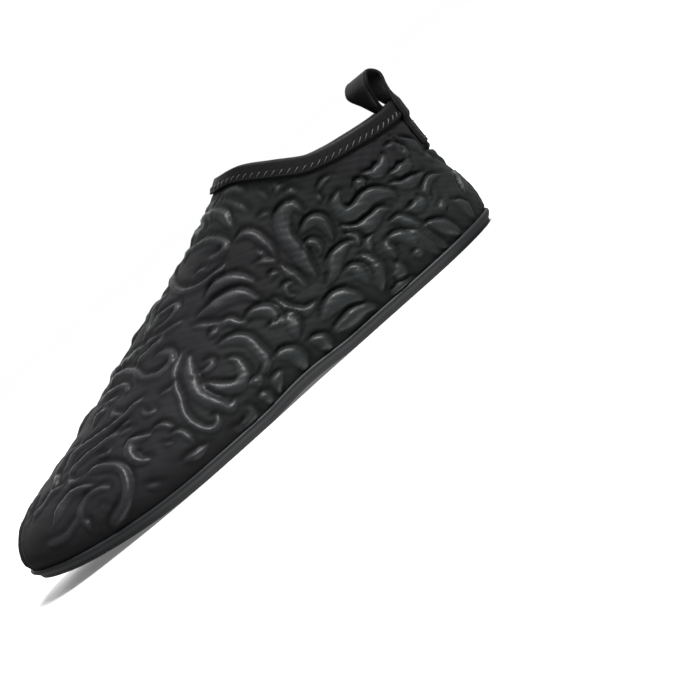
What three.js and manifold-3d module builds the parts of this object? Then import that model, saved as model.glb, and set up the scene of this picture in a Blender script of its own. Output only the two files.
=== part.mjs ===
// A slip-on water shoe for the left foot, empty, unbent and standing on its sole.
// Millimetres, +Z up. The toe points to -X, the heel to +X, the outer side faces -Y and the inner side +Y.
// The sole, insole, fabric upper, collar binding and heel pull loop are separate solids.

import * as THREE from 'three';
import * as BufferGeometryUtils from 'three/addons/utils/BufferGeometryUtils.js';
import Module from 'manifold-3d';

const wasm = await Module();
wasm.setup();

// Driving sizes of the whole shoe
const length = 250;
const ballWidth = 93;
const throatHeight = 90;
const heelHeight = 66;
const openingLength = 79;
const gap = 0.3;

// Driving sizes of the sole
const lugDepth = 1.6;
const plateThickness = 3.6;
const sideBevel = 2.2;
const edgeRound = 0.7;
const ledge = 1.2;
const toeSpring = 10;
const springReach = 85;
const archLift = 1.4;
const archReach = 50;
const archAt = 0.58;
const treadBorder = 5.5;
const rimStep = 0.2;

// Driving sizes of the tread's pattern
const hexPitch = 9;
const hexGroove = 2;
const hexTurn = THREE.MathUtils.degToRad(10);
const ringGroove = 1.2;
const fingerWidth = 5;
const fingerGroove = 1.3;
const dimpleRadius = 1.3;
const dividerGroove = 1.5;

// Driving sizes of the upper, the insole, the binding and the loop
const wall = 2.2;
const toeBulge = 2.3;
const bulgeReach = 32;
const insoleThickness = 2.6;
const insoleClearance = 0.9;
const bindingHeight = 8;
const bindingThickness = 1.1;
const bindingClearance = 0.4;
const loopWidth = 22;
const loopThickness = 1.5;
const loopRise = 17;
const loopSewn = 21;
const loopTuck = 13;
const loopTwist = THREE.MathUtils.degToRad(24);
const loopLean = 5;
const loopFold = 3.8;
const tapeClearance = 0.5;

// The outline of the sole in plan, rounded at the toe and the heel by the two corner sizes below.
// at: share of the length from the toe; half: half width as a share of half the ball's width;
// middle: how far the middle lies towards the inner side, as a share of the ball's width.
const outlineRows = [
  { at: 0.00, half: 0.905, middle: 0.151 },
  { at: 0.08, half: 0.955, middle: 0.086 },
  { at: 0.16, half: 0.960, middle: 0.050 },
  { at: 0.28, half: 1.000, middle: 0.006 },
  { at: 0.36, half: 0.998, middle: -0.018 },
  { at: 0.48, half: 0.872, middle: -0.048 },
  { at: 0.60, half: 0.722, middle: -0.066 },
  { at: 0.72, half: 0.655, middle: -0.060 },
  { at: 0.84, half: 0.652, middle: -0.033 },
  { at: 0.93, half: 0.612, middle: -0.017 },
  { at: 1.00, half: 0.570, middle: -0.011 },
];
const toeCorner = { reach: 0.28, power: 2.3 };
const heelCorner = { reach: 0.14, power: 2.1 };

// The ridge of the upper above the floor, from the toe to the throat and on past it.
// along: share of the way from the toe to the throat; height: share of the throat's height.
// Past the throat the rows carry on the vault that the collar cuts off.
const ridgeRows = [
  { along: 0.00, height: 0.300 },
  { along: 0.05, height: 0.352 },
  { along: 0.10, height: 0.395 },
  { along: 0.17, height: 0.438 },
  { along: 0.28, height: 0.494 },
  { along: 0.44, height: 0.592 },
  { along: 0.56, height: 0.672 },
  { along: 0.69, height: 0.748 },
  { along: 0.80, height: 0.818 },
  { along: 0.90, height: 0.895 },
  { along: 1.00, height: 1.000 },
  { along: 1.04, height: 1.070 },
  { along: 1.09, height: 1.210 },
  { along: 1.17, height: 1.520 },
  { along: 1.29, height: 1.900 },
  { along: 1.46, height: 2.100 },
];
const noseCorner = { reach: 0.055, power: 2.1 };

// The cross sections of the upper. top and side: powers of the vault's curve, larger is squarer;
// lean: how far the ridge leans towards the inner side, as a share of the ball's width.
const vaultRows = [
  { at: 0.00, top: 2.5, side: 2.0, lean: 0.010 },
  { at: 0.12, top: 2.3, side: 1.9, lean: 0.045 },
  { at: 0.28, top: 2.0, side: 1.75, lean: 0.085 },
  { at: 0.42, top: 1.9, side: 1.7, lean: 0.100 },
  { at: 0.56, top: 2.1, side: 1.85, lean: 0.085 },
  { at: 0.68, top: 2.5, side: 2.15, lean: 0.060 },
  { at: 0.85, top: 2.4, side: 2.10, lean: 0.025 },
  { at: 1.00, top: 2.3, side: 2.0, lean: 0.000 },
];

// The collar's edge. from: share of the opening's length in front of the heel; rise: share of the way
// from the heel's height to the throat's height.
const collarRows = [
  { from: 0.00, rise: 0.00 },
  { from: 0.15, rise: 0.02 },
  { from: 0.32, rise: 0.10 },
  { from: 0.45, rise: 0.18 },
  { from: 0.58, rise: 0.32 },
  { from: 0.74, rise: 0.65 },
  { from: 0.88, rise: 0.93 },
  { from: 1.00, rise: 1.00 },
];

// The heel's back seen from the side. up: share of the heel's height; inward: share of the wall.
const heelRows = [
  { up: 0.00, inward: 0.00 },
  { up: 0.25, inward: 0.10 },
  { up: 0.60, inward: 0.45 },
  { up: 0.85, inward: 0.30 },
  { up: 1.00, inward: 0.00 },
];

// How finely the solids are faceted, and the steps that slopes are measured over
const roundSteps = 60;
const riseShares = [0, 0.08, 0.18, 0.30, 0.43, 0.57, 0.71, 0.86];
const sidesPerRadius = { smallest: 8, each: 0.9, most: 18 };
const barEndSides = 7;
const springSteps = 6;
const archSteps = 4;
const loopSteps = 9;
const loopColumns = 4;
const tiny = 1e-6;
const turnStep = 0.004;
const riseStep = 0.004;
const edgeSteps = 40;
const searchSteps = 24;

// A smooth curve through the rows of a table, as a function of one column
function through(rows, from, to) {
  const slopes = rows.map((row, i) => {
    const before = rows[Math.max(i - 1, 0)];
    const after = rows[Math.min(i + 1, rows.length - 1)];
    return (after[to] - before[to]) / (after[from] - before[from]);
  });
  return (value) => {
    const x = Math.min(Math.max(value, rows[0][from]), rows[rows.length - 1][from]);
    let i = 0;
    while (i < rows.length - 2 && x > rows[i + 1][from]) i += 1;
    const width = rows[i + 1][from] - rows[i][from];
    const t = (x - rows[i][from]) / width;
    const a = rows[i][to];
    const b = rows[i + 1][to];
    const bend = (t * (1 - t) * (1 - t)) * slopes[i] - (t * t * (1 - t)) * slopes[i + 1];
    return a + (b - a) * t * t * (3 - 2 * t) + bend * width;
  };
}

// Rounds a corner: 0 at the corner and 1 once past its reach
function rounding(distance, corner) {
  const left = Math.min(Math.max(1 - distance / corner.reach, 0), 1);
  return Math.pow(Math.max(1 - Math.pow(left, corner.power), 0), 1 / corner.power);
}

function smooth(value) {
  const t = Math.min(Math.max(value, 0), 1);
  return t * t * (3 - 2 * t);
}

// The forms that all pieces share

const halfShare = through(outlineRows, 'at', 'half');
const middleShare = through(outlineRows, 'at', 'middle');
const ridgeShare = through(ridgeRows, 'along', 'height');
const topPower = through(vaultRows, 'at', 'top');
const sidePower = through(vaultRows, 'at', 'side');
const leanShare = through(vaultRows, 'at', 'lean');
const collarShare = through(collarRows, 'from', 'rise');
const heelShare = through(heelRows, 'up', 'inward');

const throatAt = 1 - openingLength / length;
const edgeRoll = bindingClearance + bindingThickness;
const bindingLeg = bindingHeight - edgeRoll;
const featherLength = length - 2 * ledge;

function ends(at) {
  return rounding(at, toeCorner) * rounding(1 - at, heelCorner);
}

function halfWidth(at) {
  return halfShare(at) * ballWidth / 2 * ends(at);
}

function middle(at) {
  return middleShare(at) * ballWidth;
}

// The height of the ground surface of the sole: flat under the heel and the ball, lifted at toe and waist
function groundHeight(at) {
  const ahead = Math.max(springReach - at * length, 0) / springReach;
  const waist = (at - archAt) * length / (archReach / 2);
  const arch = Math.max(1 - waist * waist, 0);
  return toeSpring * ahead * ahead + archLift * arch * arch;
}

function soleTop(at) {
  return groundHeight(at) + lugDepth + plateThickness;
}

function featherHeight(at) {
  return soleTop(at) + gap;
}

function collarHeight(toHeel) {
  return heelHeight + (throatHeight - heelHeight) * collarShare(1 - toHeel) - edgeRoll;
}

function ridgeHeight(at) {
  const full = ridgeShare(at / throatAt) * (throatHeight - edgeRoll);
  return featherHeight(at) + (full - featherHeight(at)) * rounding(at, noseCorner);
}

// A place round the outline: turn 0 is the heel, 0.25 the outer side, 0.5 the toe, 0.75 the inner side
function outlinePoint(turn, inset) {
  const around = turn * 2 * Math.PI;
  const at = (1 + Math.cos(around)) / 2;
  const side = -Math.sign(Math.sin(around));
  const point = new THREE.Vector2(at * length, middle(at) + side * halfWidth(at));
  if (inset === 0) return point;
  const before = outlinePoint(turn - turnStep / 2, 0);
  const after = outlinePoint(turn + turnStep / 2, 0);
  const along = after.sub(before).normalize();
  return new THREE.Vector2(point.x + along.y * inset, point.y - along.x * inset);
}

// The outer face of the upper, before it bulges: rise 0 is the feather line and 1 the collar's edge
function upperBase(turn, rise) {
  const around = turn * 2 * Math.PI;
  const toHeel = (1 + Math.cos(around)) / 2;
  const side = -Math.sign(Math.sin(around));
  const front = throatAt * Math.pow(rise, 1.35);
  const backHeight = THREE.MathUtils.lerp(featherHeight(1), heelHeight - edgeRoll, rise);
  const backAt = 1 - heelShare(backHeight / heelHeight) * wall / length;
  const cornerBlend = (low0, low1, high0, high1) => (
    (1 - rise) * ((1 - toHeel) * low0 + toHeel * low1) + rise * ((1 - toHeel) * high0 + toHeel * high1)
  );
  const bottomTop = (low, high) => (1 - rise) * low + rise * high;
  const frontBack = (ahead, behind) => (1 - toHeel) * ahead + toHeel * behind;
  const at = bottomTop(toHeel, throatAt + (1 - throatAt) * toHeel)
    + frontBack(front, backAt) - cornerBlend(0, 1, throatAt, 1);
  const height = bottomTop(featherHeight(toHeel), collarHeight(toHeel))
    + frontBack(ridgeHeight(front), backHeight)
    - cornerBlend(featherHeight(0), featherHeight(1), throatHeight - edgeRoll, heelHeight - edgeRoll);
  const heelIn = heelShare(height / heelHeight) * wall / length * smooth((at - throatAt) / (1 - throatAt));
  const station = Math.min(Math.max(at + heelIn, 0), 1);
  const low = featherHeight(station);
  const vaultHeight = Math.max(ridgeHeight(station) - low, tiny);
  const up = Math.min(Math.max((height - low) / vaultHeight, 0), 1);
  const vault = Math.pow(Math.max(1 - Math.pow(up, topPower(station)), 0), 1 / sidePower(station));
  const spread = (halfWidth(station) - ledge * ends(station)) * vault;
  const shift = leanShare(station) * ballWidth * Math.pow(up, 1.5);
  return new THREE.Vector3(ledge + at * featherLength, middle(station) + shift + side * spread, height);
}

// The outer face of the upper with its bulge over the sole's edge
function upperPoint(turn, rise) {
  const point = upperBase(turn, rise);
  const at = (1 + Math.cos(turn * 2 * Math.PI)) / 2;
  const q = Math.min(Math.max((point.z - featherHeight(at)) / bulgeReach, 0), 1);
  const bulge = toeBulge * 6.75 * q * (1 - q) * (1 - q);
  const foot = outlinePoint(turn, 0);
  const out = outlinePoint(turn, -1).sub(foot);
  return new THREE.Vector3(point.x + out.x * bulge, point.y + out.y * bulge, point.z);
}

function upperNormal(turn, rise) {
  const low = Math.max(rise - riseStep, 0);
  const high = Math.min(rise + riseStep, 1);
  const along = upperPoint(turn + turnStep, rise).sub(upperPoint(turn - turnStep, rise));
  const up = upperPoint(turn, high).sub(upperPoint(turn, low));
  return up.cross(along).normalize();
}

// A point at a distance from the upper's outer face, outward positive
function beside(turn, rise, distance) {
  return upperPoint(turn, rise).addScaledVector(upperNormal(turn, rise), distance);
}

// The rise at which the upper lies a given length below the collar's edge
function riseBelowEdge(turn, drop) {
  const step = 1 / (2 * edgeSteps);
  let rise = 1;
  let left = drop;
  let last = upperPoint(turn, 1);
  while (rise > 0.5) {
    const next = upperPoint(turn, rise - step);
    const run = last.distanceTo(next);
    if (run >= left) return rise - step * (left / run);
    left -= run;
    rise -= step;
    last = next;
  }
  return rise;
}

// Solids from rings of points

function meshFrom(points, faces) {
  const geometry = new THREE.BufferGeometry();
  const positions = new Float32Array(points.length * 3);
  points.forEach((point, i) => point.toArray(positions, i * 3));
  geometry.setAttribute('position', new THREE.BufferAttribute(positions, 3));
  geometry.setIndex(faces);
  return geometry;
}

// Closes rings that follow each other into one body; the last ring joins the first one
function closedLoft(rings) {
  const count = rings[0].length;
  const faces = [];
  rings.forEach((ring, r) => {
    const next = (r + 1) % rings.length;
    for (let i = 0; i < count; i += 1) {
      const j = (i + 1) % count;
      const a = r * count + i;
      const b = r * count + j;
      const c = next * count + j;
      const d = next * count + i;
      faces.push(a, c, b, a, d, c);
    }
  });
  return meshFrom(rings.flat(), faces);
}

// A slab between rings, capped below and above by ladders across the outline
function cappedLoft(rings) {
  const count = rings[0].length;
  const half = count / 2;
  const faces = [];
  for (let r = 0; r < rings.length - 1; r += 1) {
    for (let i = 0; i < count; i += 1) {
      const j = (i + 1) % count;
      const a = r * count + i;
      const b = r * count + j;
      faces.push(a, b + count, b, a, a + count, b + count);
    }
  }
  const top = (rings.length - 1) * count;
  for (let i = 0; i < half; i += 1) {
    const a = i;
    const b = i + 1;
    const c = count - i - 1;
    const d = (count - i) % count;
    if (c !== b) faces.push(a, b, c);
    if (d !== a) faces.push(a, c, d);
    if (c !== b) faces.push(top + a, top + c, top + b);
    if (d !== a) faces.push(top + a, top + d, top + c);
  }
  return meshFrom(rings.flat(), faces);
}

function ringOf(place) {
  return Array.from({ length: roundSteps }, (unused, i) => place(i / roundSteps));
}

function solidOf(geometry) {
  const plain = geometry.clone();
  plain.deleteAttribute('normal');
  plain.deleteAttribute('uv');
  const merged = BufferGeometryUtils.mergeVertices(plain, 100 * tiny);
  return new wasm.Manifold(new wasm.Mesh({
    numProp: 3,
    vertProperties: new Float32Array(merged.attributes.position.array),
    triVerts: new Uint32Array(merged.index.array),
  }));
}

function geometryOf(solid) {
  const mesh = solid.getMesh();
  const geometry = new THREE.BufferGeometry();
  geometry.setAttribute('position', new THREE.BufferAttribute(new Float32Array(mesh.vertProperties), 3));
  geometry.setIndex(Array.from(mesh.triVerts));
  return geometry;
}

// The tread's pattern in plan, as upright prisms that the curved layer of lugs is cut with

const prismHeight = 3 * toeSpring;

function prism(points) {
  const shape = new THREE.Shape(points);
  const geometry = new THREE.ExtrudeGeometry(shape, { depth: prismHeight, bevelEnabled: false });
  geometry.translate(0, 0, -prismHeight / 3);
  return solidOf(geometry);
}

function disc(centre, radius) {
  const wanted = sidesPerRadius.smallest + Math.round(radius * sidesPerRadius.each);
  const sides = Math.min(wanted, sidesPerRadius.most);
  return Array.from({ length: sides }, (unused, i) => {
    const angle = i / sides * 2 * Math.PI;
    return new THREE.Vector2(centre.x + radius * Math.cos(angle), centre.y + radius * Math.sin(angle));
  });
}

// A line inside the outline, anticlockwise seen from above
function borderPoints(inset) {
  return ringOf((turn) => outlinePoint(turn, inset)).reverse();
}

// A bar with round ends between two points
function bar(start, end, width) {
  const angle = end.clone().sub(start).angle();
  const sides = barEndSides;
  const points = [];
  for (let i = 0; i <= sides; i += 1) {
    const turn = angle + Math.PI / 2 + i / sides * Math.PI;
    points.push(new THREE.Vector2(start.x + width / 2 * Math.cos(turn), start.y + width / 2 * Math.sin(turn)));
  }
  for (let i = 0; i <= sides; i += 1) {
    const turn = angle - Math.PI / 2 + i / sides * Math.PI;
    points.push(new THREE.Vector2(end.x + width / 2 * Math.cos(turn), end.y + width / 2 * Math.sin(turn)));
  }
  return points;
}

// A place on the sole: at is the share of the length from the toe, across the share of the ball's width
function onSole(at, across) {
  return new THREE.Vector2(at * length, across * ballWidth);
}

// The groove that parts the toe panel from the field of hexagons
const divider = { outer: onSole(0.33, -0.60), inner: onSole(0.135, 0.60) };

// Round pads with a raised ring: radius as a share of the ball's width
const ringPads = [
  { at: 0.393, across: -0.235, radius: 0.105 },
  { at: 0.440, across: 0.095, radius: 0.098 },
  { at: 0.325, across: 0.155, radius: 0.148 },
  { at: 0.520, across: -0.070, radius: 0.066 },
  { at: 0.600, across: -0.150, radius: 0.066 },
  { at: 0.880, across: -0.020, radius: 0.155 },
];

// Smooth pads without a ring
const plainPads = [
  { at: 0.680, across: -0.150, radius: 0.074 },
  { at: 0.765, across: -0.075, radius: 0.080 },
];

// Fingers of the toe panel, from the round inner end towards the toe's edge
const fingers = [
  { at: 0.252, across: -0.375, endAt: 0.205, endAcross: -0.460 },
  { at: 0.220, across: -0.255, endAt: 0.120, endAcross: -0.345 },
  { at: 0.184, across: -0.125, endAt: 0.060, endAcross: -0.185 },
  { at: 0.152, across: 0.040, endAt: 0.012, endAcross: 0.050 },
];

// Sunken patches of the toe panel, each a list of corners
const patches = [
  [[0.210, -0.375], [0.190, -0.350], [0.150, -0.385], [0.160, -0.430]],
  [[0.165, -0.270], [0.150, -0.220], [0.085, -0.240], [0.105, -0.310]],
  [[0.120, -0.110], [0.098, -0.020], [0.040, -0.020], [0.048, -0.130]],
  [[0.132, 0.110], [0.030, 0.110], [0.036, 0.220], [0.060, 0.320], [0.108, 0.400]],
];

const dimples = [
  { at: 0.186, across: -0.222 },
  { at: 0.150, across: -0.050 },
  { at: 0.150, across: 0.255 },
  { at: 0.236, across: -0.330 },
];

// The smooth panel at the inner side of the arch
const archPanel = { at: 0.585, across: 0.300, halfLength: 0.125, halfWidth: 0.150 };

function archPanelPoints(grow) {
  const halfLength = archPanel.halfLength * length + grow;
  const halfBreadth = archPanel.halfWidth * ballWidth + grow;
  const centre = onSole(archPanel.at, archPanel.across);
  return disc(new THREE.Vector2(0, 0), halfLength).map((point) => new THREE.Vector2(
    centre.x + point.x,
    centre.y + point.y / halfLength * halfBreadth,
  ));
}

function hexagons() {
  const cells = [];
  const rowStep = hexPitch * Math.sqrt(3) / 2;
  const corner = (hexPitch - hexGroove) / Math.sqrt(3);
  const reach = Math.ceil(length / rowStep);
  for (let row = -reach; row <= reach; row += 1) {
    for (let column = -reach; column <= reach; column += 1) {
      const shift = (Math.abs(row) % 2) / 2;
      const place = new THREE.Vector2((column + shift) * hexPitch, row * rowStep);
      place.rotateAround(new THREE.Vector2(0, 0), hexTurn).add(onSole(0.5, 0));
      const at = place.x / length;
      if (at < 0 || at > 1 || Math.abs(place.y - middle(at)) > halfWidth(at) + hexPitch) continue;
      const points = [];
      for (let i = 0; i < 6; i += 1) {
        const angle = hexTurn + Math.PI / 6 + i * Math.PI / 3;
        points.push(new THREE.Vector2(place.x + corner * Math.cos(angle), place.y + corner * Math.sin(angle)));
      }
      cells.push(prism(points));
    }
  }
  return cells.reduce((whole, cell) => whole.add(cell));
}

// The half of the tread behind the divider, or in front of it
function sideOfDivider(behind, grow) {
  const along = divider.inner.clone().sub(divider.outer).normalize();
  const normal = new THREE.Vector2(-along.y, along.x).multiplyScalar(behind ? -1 : 1);
  const far = normal.clone().multiplyScalar(length);
  const start = divider.outer.clone().addScaledVector(normal, grow);
  const end = divider.inner.clone().addScaledVector(normal, grow);
  const points = [start, end, end.clone().add(far), start.clone().add(far)];
  return prism(THREE.ShapeUtils.area(points) > 0 ? points : points.reverse());
}

function treadPattern() {
  const inside = prism(borderPoints(treadBorder));
  const inner = prism(borderPoints(treadBorder - ringGroove));
  const rim = prism(borderPoints(sideBevel + rimStep)).subtract(inner);
  const padPlaces = [...ringPads, ...plainPads].map((pad) => ({
    centre: onSole(pad.at, pad.across), radius: pad.radius * ballWidth,
  }));
  let field = hexagons().intersect(inside).intersect(sideOfDivider(true, dividerGroove));
  field = field.subtract(prism(archPanelPoints(hexGroove)));
  padPlaces.forEach((pad) => {
    field = field.subtract(prism(disc(pad.centre, pad.radius + ringGroove)));
  });
  let whole = field.add(rim);
  whole = whole.add(prism(archPanelPoints(0)).intersect(inside));
  padPlaces.forEach((pad, i) => {
    let round = prism(disc(pad.centre, pad.radius));
    if (i < ringPads.length) {
      round = round.subtract(prism(disc(pad.centre, pad.radius - ringGroove)));
      round = round.add(prism(disc(pad.centre, pad.radius - 2 * ringGroove)));
    }
    whole = whole.add(round.intersect(inside));
  });
  let panel = inner.intersect(sideOfDivider(false, 0));
  fingers.forEach((finger) => {
    const start = onSole(finger.at, finger.across);
    const end = onSole(finger.endAt, finger.endAcross);
    panel = panel.subtract(prism(bar(start, end, fingerWidth + 2 * fingerGroove)));
    panel = panel.add(prism(bar(start, end, fingerWidth)).intersect(inner));
    panel = panel.subtract(prism(disc(start, dimpleRadius)));
  });
  dimples.forEach((dimple) => {
    panel = panel.subtract(prism(disc(onSole(dimple.at, dimple.across), dimpleRadius)));
  });
  patches.forEach((corners) => {
    const points = corners.map(([at, across]) => onSole(at, across));
    panel = panel.subtract(prism(THREE.ShapeUtils.area(points) > 0 ? points : points.reverse()).intersect(inside));
  });
  return whole.add(panel);
}

// The layer that the lugs are cut from: it follows the ground surface along the shoe
function lugLayer() {
  const stations = [];
  for (let i = 0; i < springSteps; i += 1) stations.push(i / springSteps * springReach / length);
  stations.push(springReach / length);
  for (let i = 0; i <= archSteps; i += 1) stations.push(archAt + (i / archSteps - 0.5) * archReach / length);
  stations.push(1);
  const under = stations.map((at) => new THREE.Vector2(at * length, groundHeight(at)));
  const over = stations.map((at) => new THREE.Vector2(at * length, groundHeight(at) + lugDepth + edgeRound));
  const geometry = new THREE.ExtrudeGeometry(new THREE.Shape([...under, ...over.reverse()]), {
    depth: 2 * ballWidth,
    bevelEnabled: false,
  });
  geometry.rotateX(Math.PI / 2);
  geometry.translate(0, ballWidth, 0);
  return solidOf(geometry);
}

// The sub-parts

function outsole() {
  const profile = [
    { inset: sideBevel, up: lugDepth },
    { inset: sideBevel * 0.3, up: lugDepth + plateThickness * 0.35 },
    { inset: 0, up: lugDepth + plateThickness * 0.6 },
    { inset: 0, up: lugDepth + plateThickness - edgeRound },
    { inset: edgeRound, up: lugDepth + plateThickness },
  ];
  const rings = profile.map((row) => ringOf((turn) => {
    const at = (1 + Math.cos(turn * 2 * Math.PI)) / 2;
    const point = outlinePoint(turn, row.inset);
    return new THREE.Vector3(point.x, point.y, groundHeight(at) + row.up);
  }));
  const plate = solidOf(cappedLoft(rings));
  return geometryOf(plate.add(lugLayer().intersect(treadPattern())));
}

function insole() {
  const inset = ledge + wall + insoleClearance;
  const rings = [0, insoleThickness].map((up) => ringOf((turn) => {
    const at = (1 + Math.cos(turn * 2 * Math.PI)) / 2;
    const point = outlinePoint(turn, inset);
    return new THREE.Vector3(point.x, point.y, featherHeight(at) + up);
  }));
  return cappedLoft(rings);
}

// The rows of the upper: shares of the rise up to the binding, then the binding's own rows
function upper() {
  const rows = [
    ...riseShares.map((share) => (turn) => share * riseBelowEdge(turn, bindingLeg)),
    (turn) => riseBelowEdge(turn, bindingLeg),
    (turn) => riseBelowEdge(turn, bindingLeg / 2),
    () => 1,
  ];
  const outer = rows.map((row) => ringOf((turn) => upperPoint(turn, row(turn))));
  const inner = rows.map((row) => ringOf((turn) => beside(turn, row(turn), -wall)));
  return closedLoft([...outer, ...inner.reverse()]);
}

// The binding's section: across is the distance from the upper's outer face, drop the length below its edge
function bindingSection() {
  const outside = edgeRoll;
  const inside = -wall - edgeRoll;
  const nearFace = bindingClearance;
  const farFace = -wall - bindingClearance;
  const centre = -wall / 2;
  const leg = bindingLeg;
  const section = [
    { across: nearFace, drop: -bindingClearance },
    { across: nearFace, drop: leg / 2 },
    { across: nearFace, drop: leg },
    { across: outside, drop: leg },
    { across: outside, drop: leg / 2 },
    { across: outside, drop: 0 },
    { across: THREE.MathUtils.lerp(outside, centre, 0.3), drop: -edgeRoll * 0.75 },
    { across: centre, drop: -edgeRoll },
    { across: THREE.MathUtils.lerp(inside, centre, 0.3), drop: -edgeRoll * 0.75 },
    { across: inside, drop: 0 },
    { across: inside, drop: leg / 2 },
    { across: inside, drop: leg },
    { across: farFace, drop: leg },
    { across: farFace, drop: leg / 2 },
    { across: farFace, drop: -bindingClearance },
  ];
  return section;
}

// A point of the shoe's collar: below the upper's edge it follows the upper, above it runs straight on
function collarPoint(turn, across, drop) {
  if (drop > 0) return beside(turn, riseBelowEdge(turn, drop), across);
  const edge = upperPoint(turn, 1);
  const on = edge.clone().sub(upperPoint(turn, 0.97)).normalize();
  return beside(turn, 1, across).addScaledVector(on, -drop);
}

function collarBinding() {
  const rings = bindingSection().map((row) => ringOf((turn) => collarPoint(turn, row.across, row.drop)));
  return closedLoft(rings);
}

// The turn at which the upper lies a given way across from the heel's middle, at one rise
function turnAcross(across, rise) {
  const middleY = upperPoint(0, rise).y;
  let low = 0;
  let high = 0.12;
  for (let i = 0; i < searchSteps; i += 1) {
    const turn = (low + high) / 2;
    const reached = Math.abs(upperPoint(across > 0 ? 1 - turn : turn, rise).y - middleY);
    if (reached < Math.abs(across)) low = turn;
    else high = turn;
  }
  return across > 0 ? 1 - low : low;
}

// A point of the tape where it lies against the heel, a drop below the collar's edge
function tapePoint(across, face, drop) {
  const rise = drop > 0 ? riseBelowEdge(0, drop) : 1;
  const turn = turnAcross(across, rise);
  if (drop > 0) return beside(turn, rise, face);
  return collarPoint(turn, face, drop);
}

// The loop is one tape: up the outside of the heel, over a twisted fold and down inside the collar
function pullLoop() {
  const columns = [];
  const outerFace = edgeRoll + gap + loopThickness / 2;
  const lowFace = tapeClearance + loopThickness / 2;
  const innerFace = -wall - edgeRoll - tapeClearance - loopThickness / 2;
  const foldCentre = upperPoint(0, 1);
  foldCentre.x -= loopLean;
  foldCentre.z = heelHeight + loopRise - loopThickness / 2;
  const foldRadius = new THREE.Vector3(Math.cos(loopTwist), Math.sin(loopTwist), 0).multiplyScalar(loopFold);
  const foldDrop = new THREE.Vector3(0, 0, -loopFold);
  for (let c = 0; c <= loopColumns; c += 1) {
    const across = (c / loopColumns - 0.5) * loopWidth;
    const sewn = [loopSewn, loopSewn * 0.75, bindingHeight + 2 * gap].map((drop) => tapePoint(across, lowFace, drop));
    const over = [bindingLeg, bindingLeg / 2, 0].map((drop) => tapePoint(across, outerFace, drop));
    const inside = [0, loopTuck * 0.5, loopTuck].map((drop) => tapePoint(across, innerFace, drop));
    const start = over[over.length - 1];
    const end = inside[0];
    const fold = foldCentre.clone();
    fold.x -= across * Math.sin(loopTwist);
    fold.y += across * Math.cos(loopTwist);
    const behind = fold.clone().add(foldRadius).add(foldDrop);
    const ahead = fold.clone().sub(foldRadius).add(foldDrop);
    const curve = new THREE.CatmullRomCurve3([
      start,
      start.clone().lerp(behind, 0.5),
      behind,
      fold,
      ahead,
      end.clone().lerp(ahead, 0.5),
      end,
    ], false, 'centripetal');
    const free = [];
    for (let i = 1; i < 2 * loopSteps; i += 1) free.push(curve.getPointAt(i / (2 * loopSteps)));
    columns.push([...sewn, ...over, ...free, ...inside]);
  }
  return tape(columns, loopThickness);
}

// A closed tape of even thickness about a grid of points, columns across and lines along
function tape(columns, thickness) {
  const across = columns.length;
  const along = columns[0].length;
  const faceOf = (side) => {
    const points = [];
    for (let c = 0; c < across; c += 1) {
      for (let k = 0; k < along; k += 1) {
        const run = columns[c][Math.min(k + 1, along - 1)].clone().sub(columns[c][Math.max(k - 1, 0)]);
        const over = columns[Math.min(c + 1, across - 1)][k].clone().sub(columns[Math.max(c - 1, 0)][k]);
        const normal = run.cross(over).normalize();
        points.push(columns[c][k].clone().addScaledVector(normal, side * thickness / 2));
      }
    }
    return points;
  };
  const points = [...faceOf(-1), ...faceOf(1)];
  const back = across * along;
  const faces = [];
  const quad = (a, b, c, d) => faces.push(a, b, c, a, c, d);
  for (let c = 0; c < across - 1; c += 1) {
    for (let k = 0; k < along - 1; k += 1) {
      const a = c * along + k;
      quad(a, a + along, a + along + 1, a + 1);
      quad(back + a, back + a + 1, back + a + along + 1, back + a + along);
    }
  }
  for (let k = 0; k < along - 1; k += 1) {
    const last = (across - 1) * along + k;
    quad(k, k + 1, back + k + 1, back + k);
    quad(last, back + last, back + last + 1, last + 1);
  }
  for (let c = 0; c < across - 1; c += 1) {
    const first = c * along;
    const end = first + along - 1;
    quad(first, back + first, back + first + along, first + along);
    quad(end, end + along, back + end + along, back + end);
  }
  return meshFrom(points, faces);
}

// The scene graph

const rubber = { color: 0x17181b, roughness: 0.5, metalness: 0 };
const foam = { color: 0x141519, roughness: 0.95, metalness: 0 };
const fabric = { color: 0x1b1c1f, roughness: 0.85, metalness: 0 };
const webbing = { color: 0x101114, roughness: 0.75, metalness: 0 };

const shoe = new THREE.Group();

function addPart(name, geometry, look) {
  const mesh = new THREE.Mesh(geometry, new THREE.MeshStandardMaterial(look));
  mesh.name = name;
  shoe.add(mesh);
}

addPart('outsole', outsole(), rubber);
addPart('insole', insole(), foam);
addPart('upper', upper(), fabric);
addPart('collar_binding', collarBinding(), webbing);
addPart('pull_loop', pullLoop(), webbing);

// The origin lies under the middle of the shoe's box, on the floor
const box = new THREE.Box3().setFromObject(shoe);
shoe.position.set(-(box.min.x + box.max.x) / 2, -(box.min.y + box.max.y) / 2, -box.min.z);

export default shoe;
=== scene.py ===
# %% [markdown]
# A slip-on water shoe
#
# The shoe has five made pieces: a moulded rubber sole, a foam bed, a stretch upper with a puffed scroll
# relief, a folded tape round the collar and a pull loop at the heel. This lesson dresses the plain CAD
# solids of those five pieces. The solids stay as the frame: every piece below is built in the same place
# and at the same size, with the finer surface that a solid for measuring doesn't need.

# %% Load the frame
import math

import bmesh
import bpy
import numpy as np
from mathutils import Matrix, Vector


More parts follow.
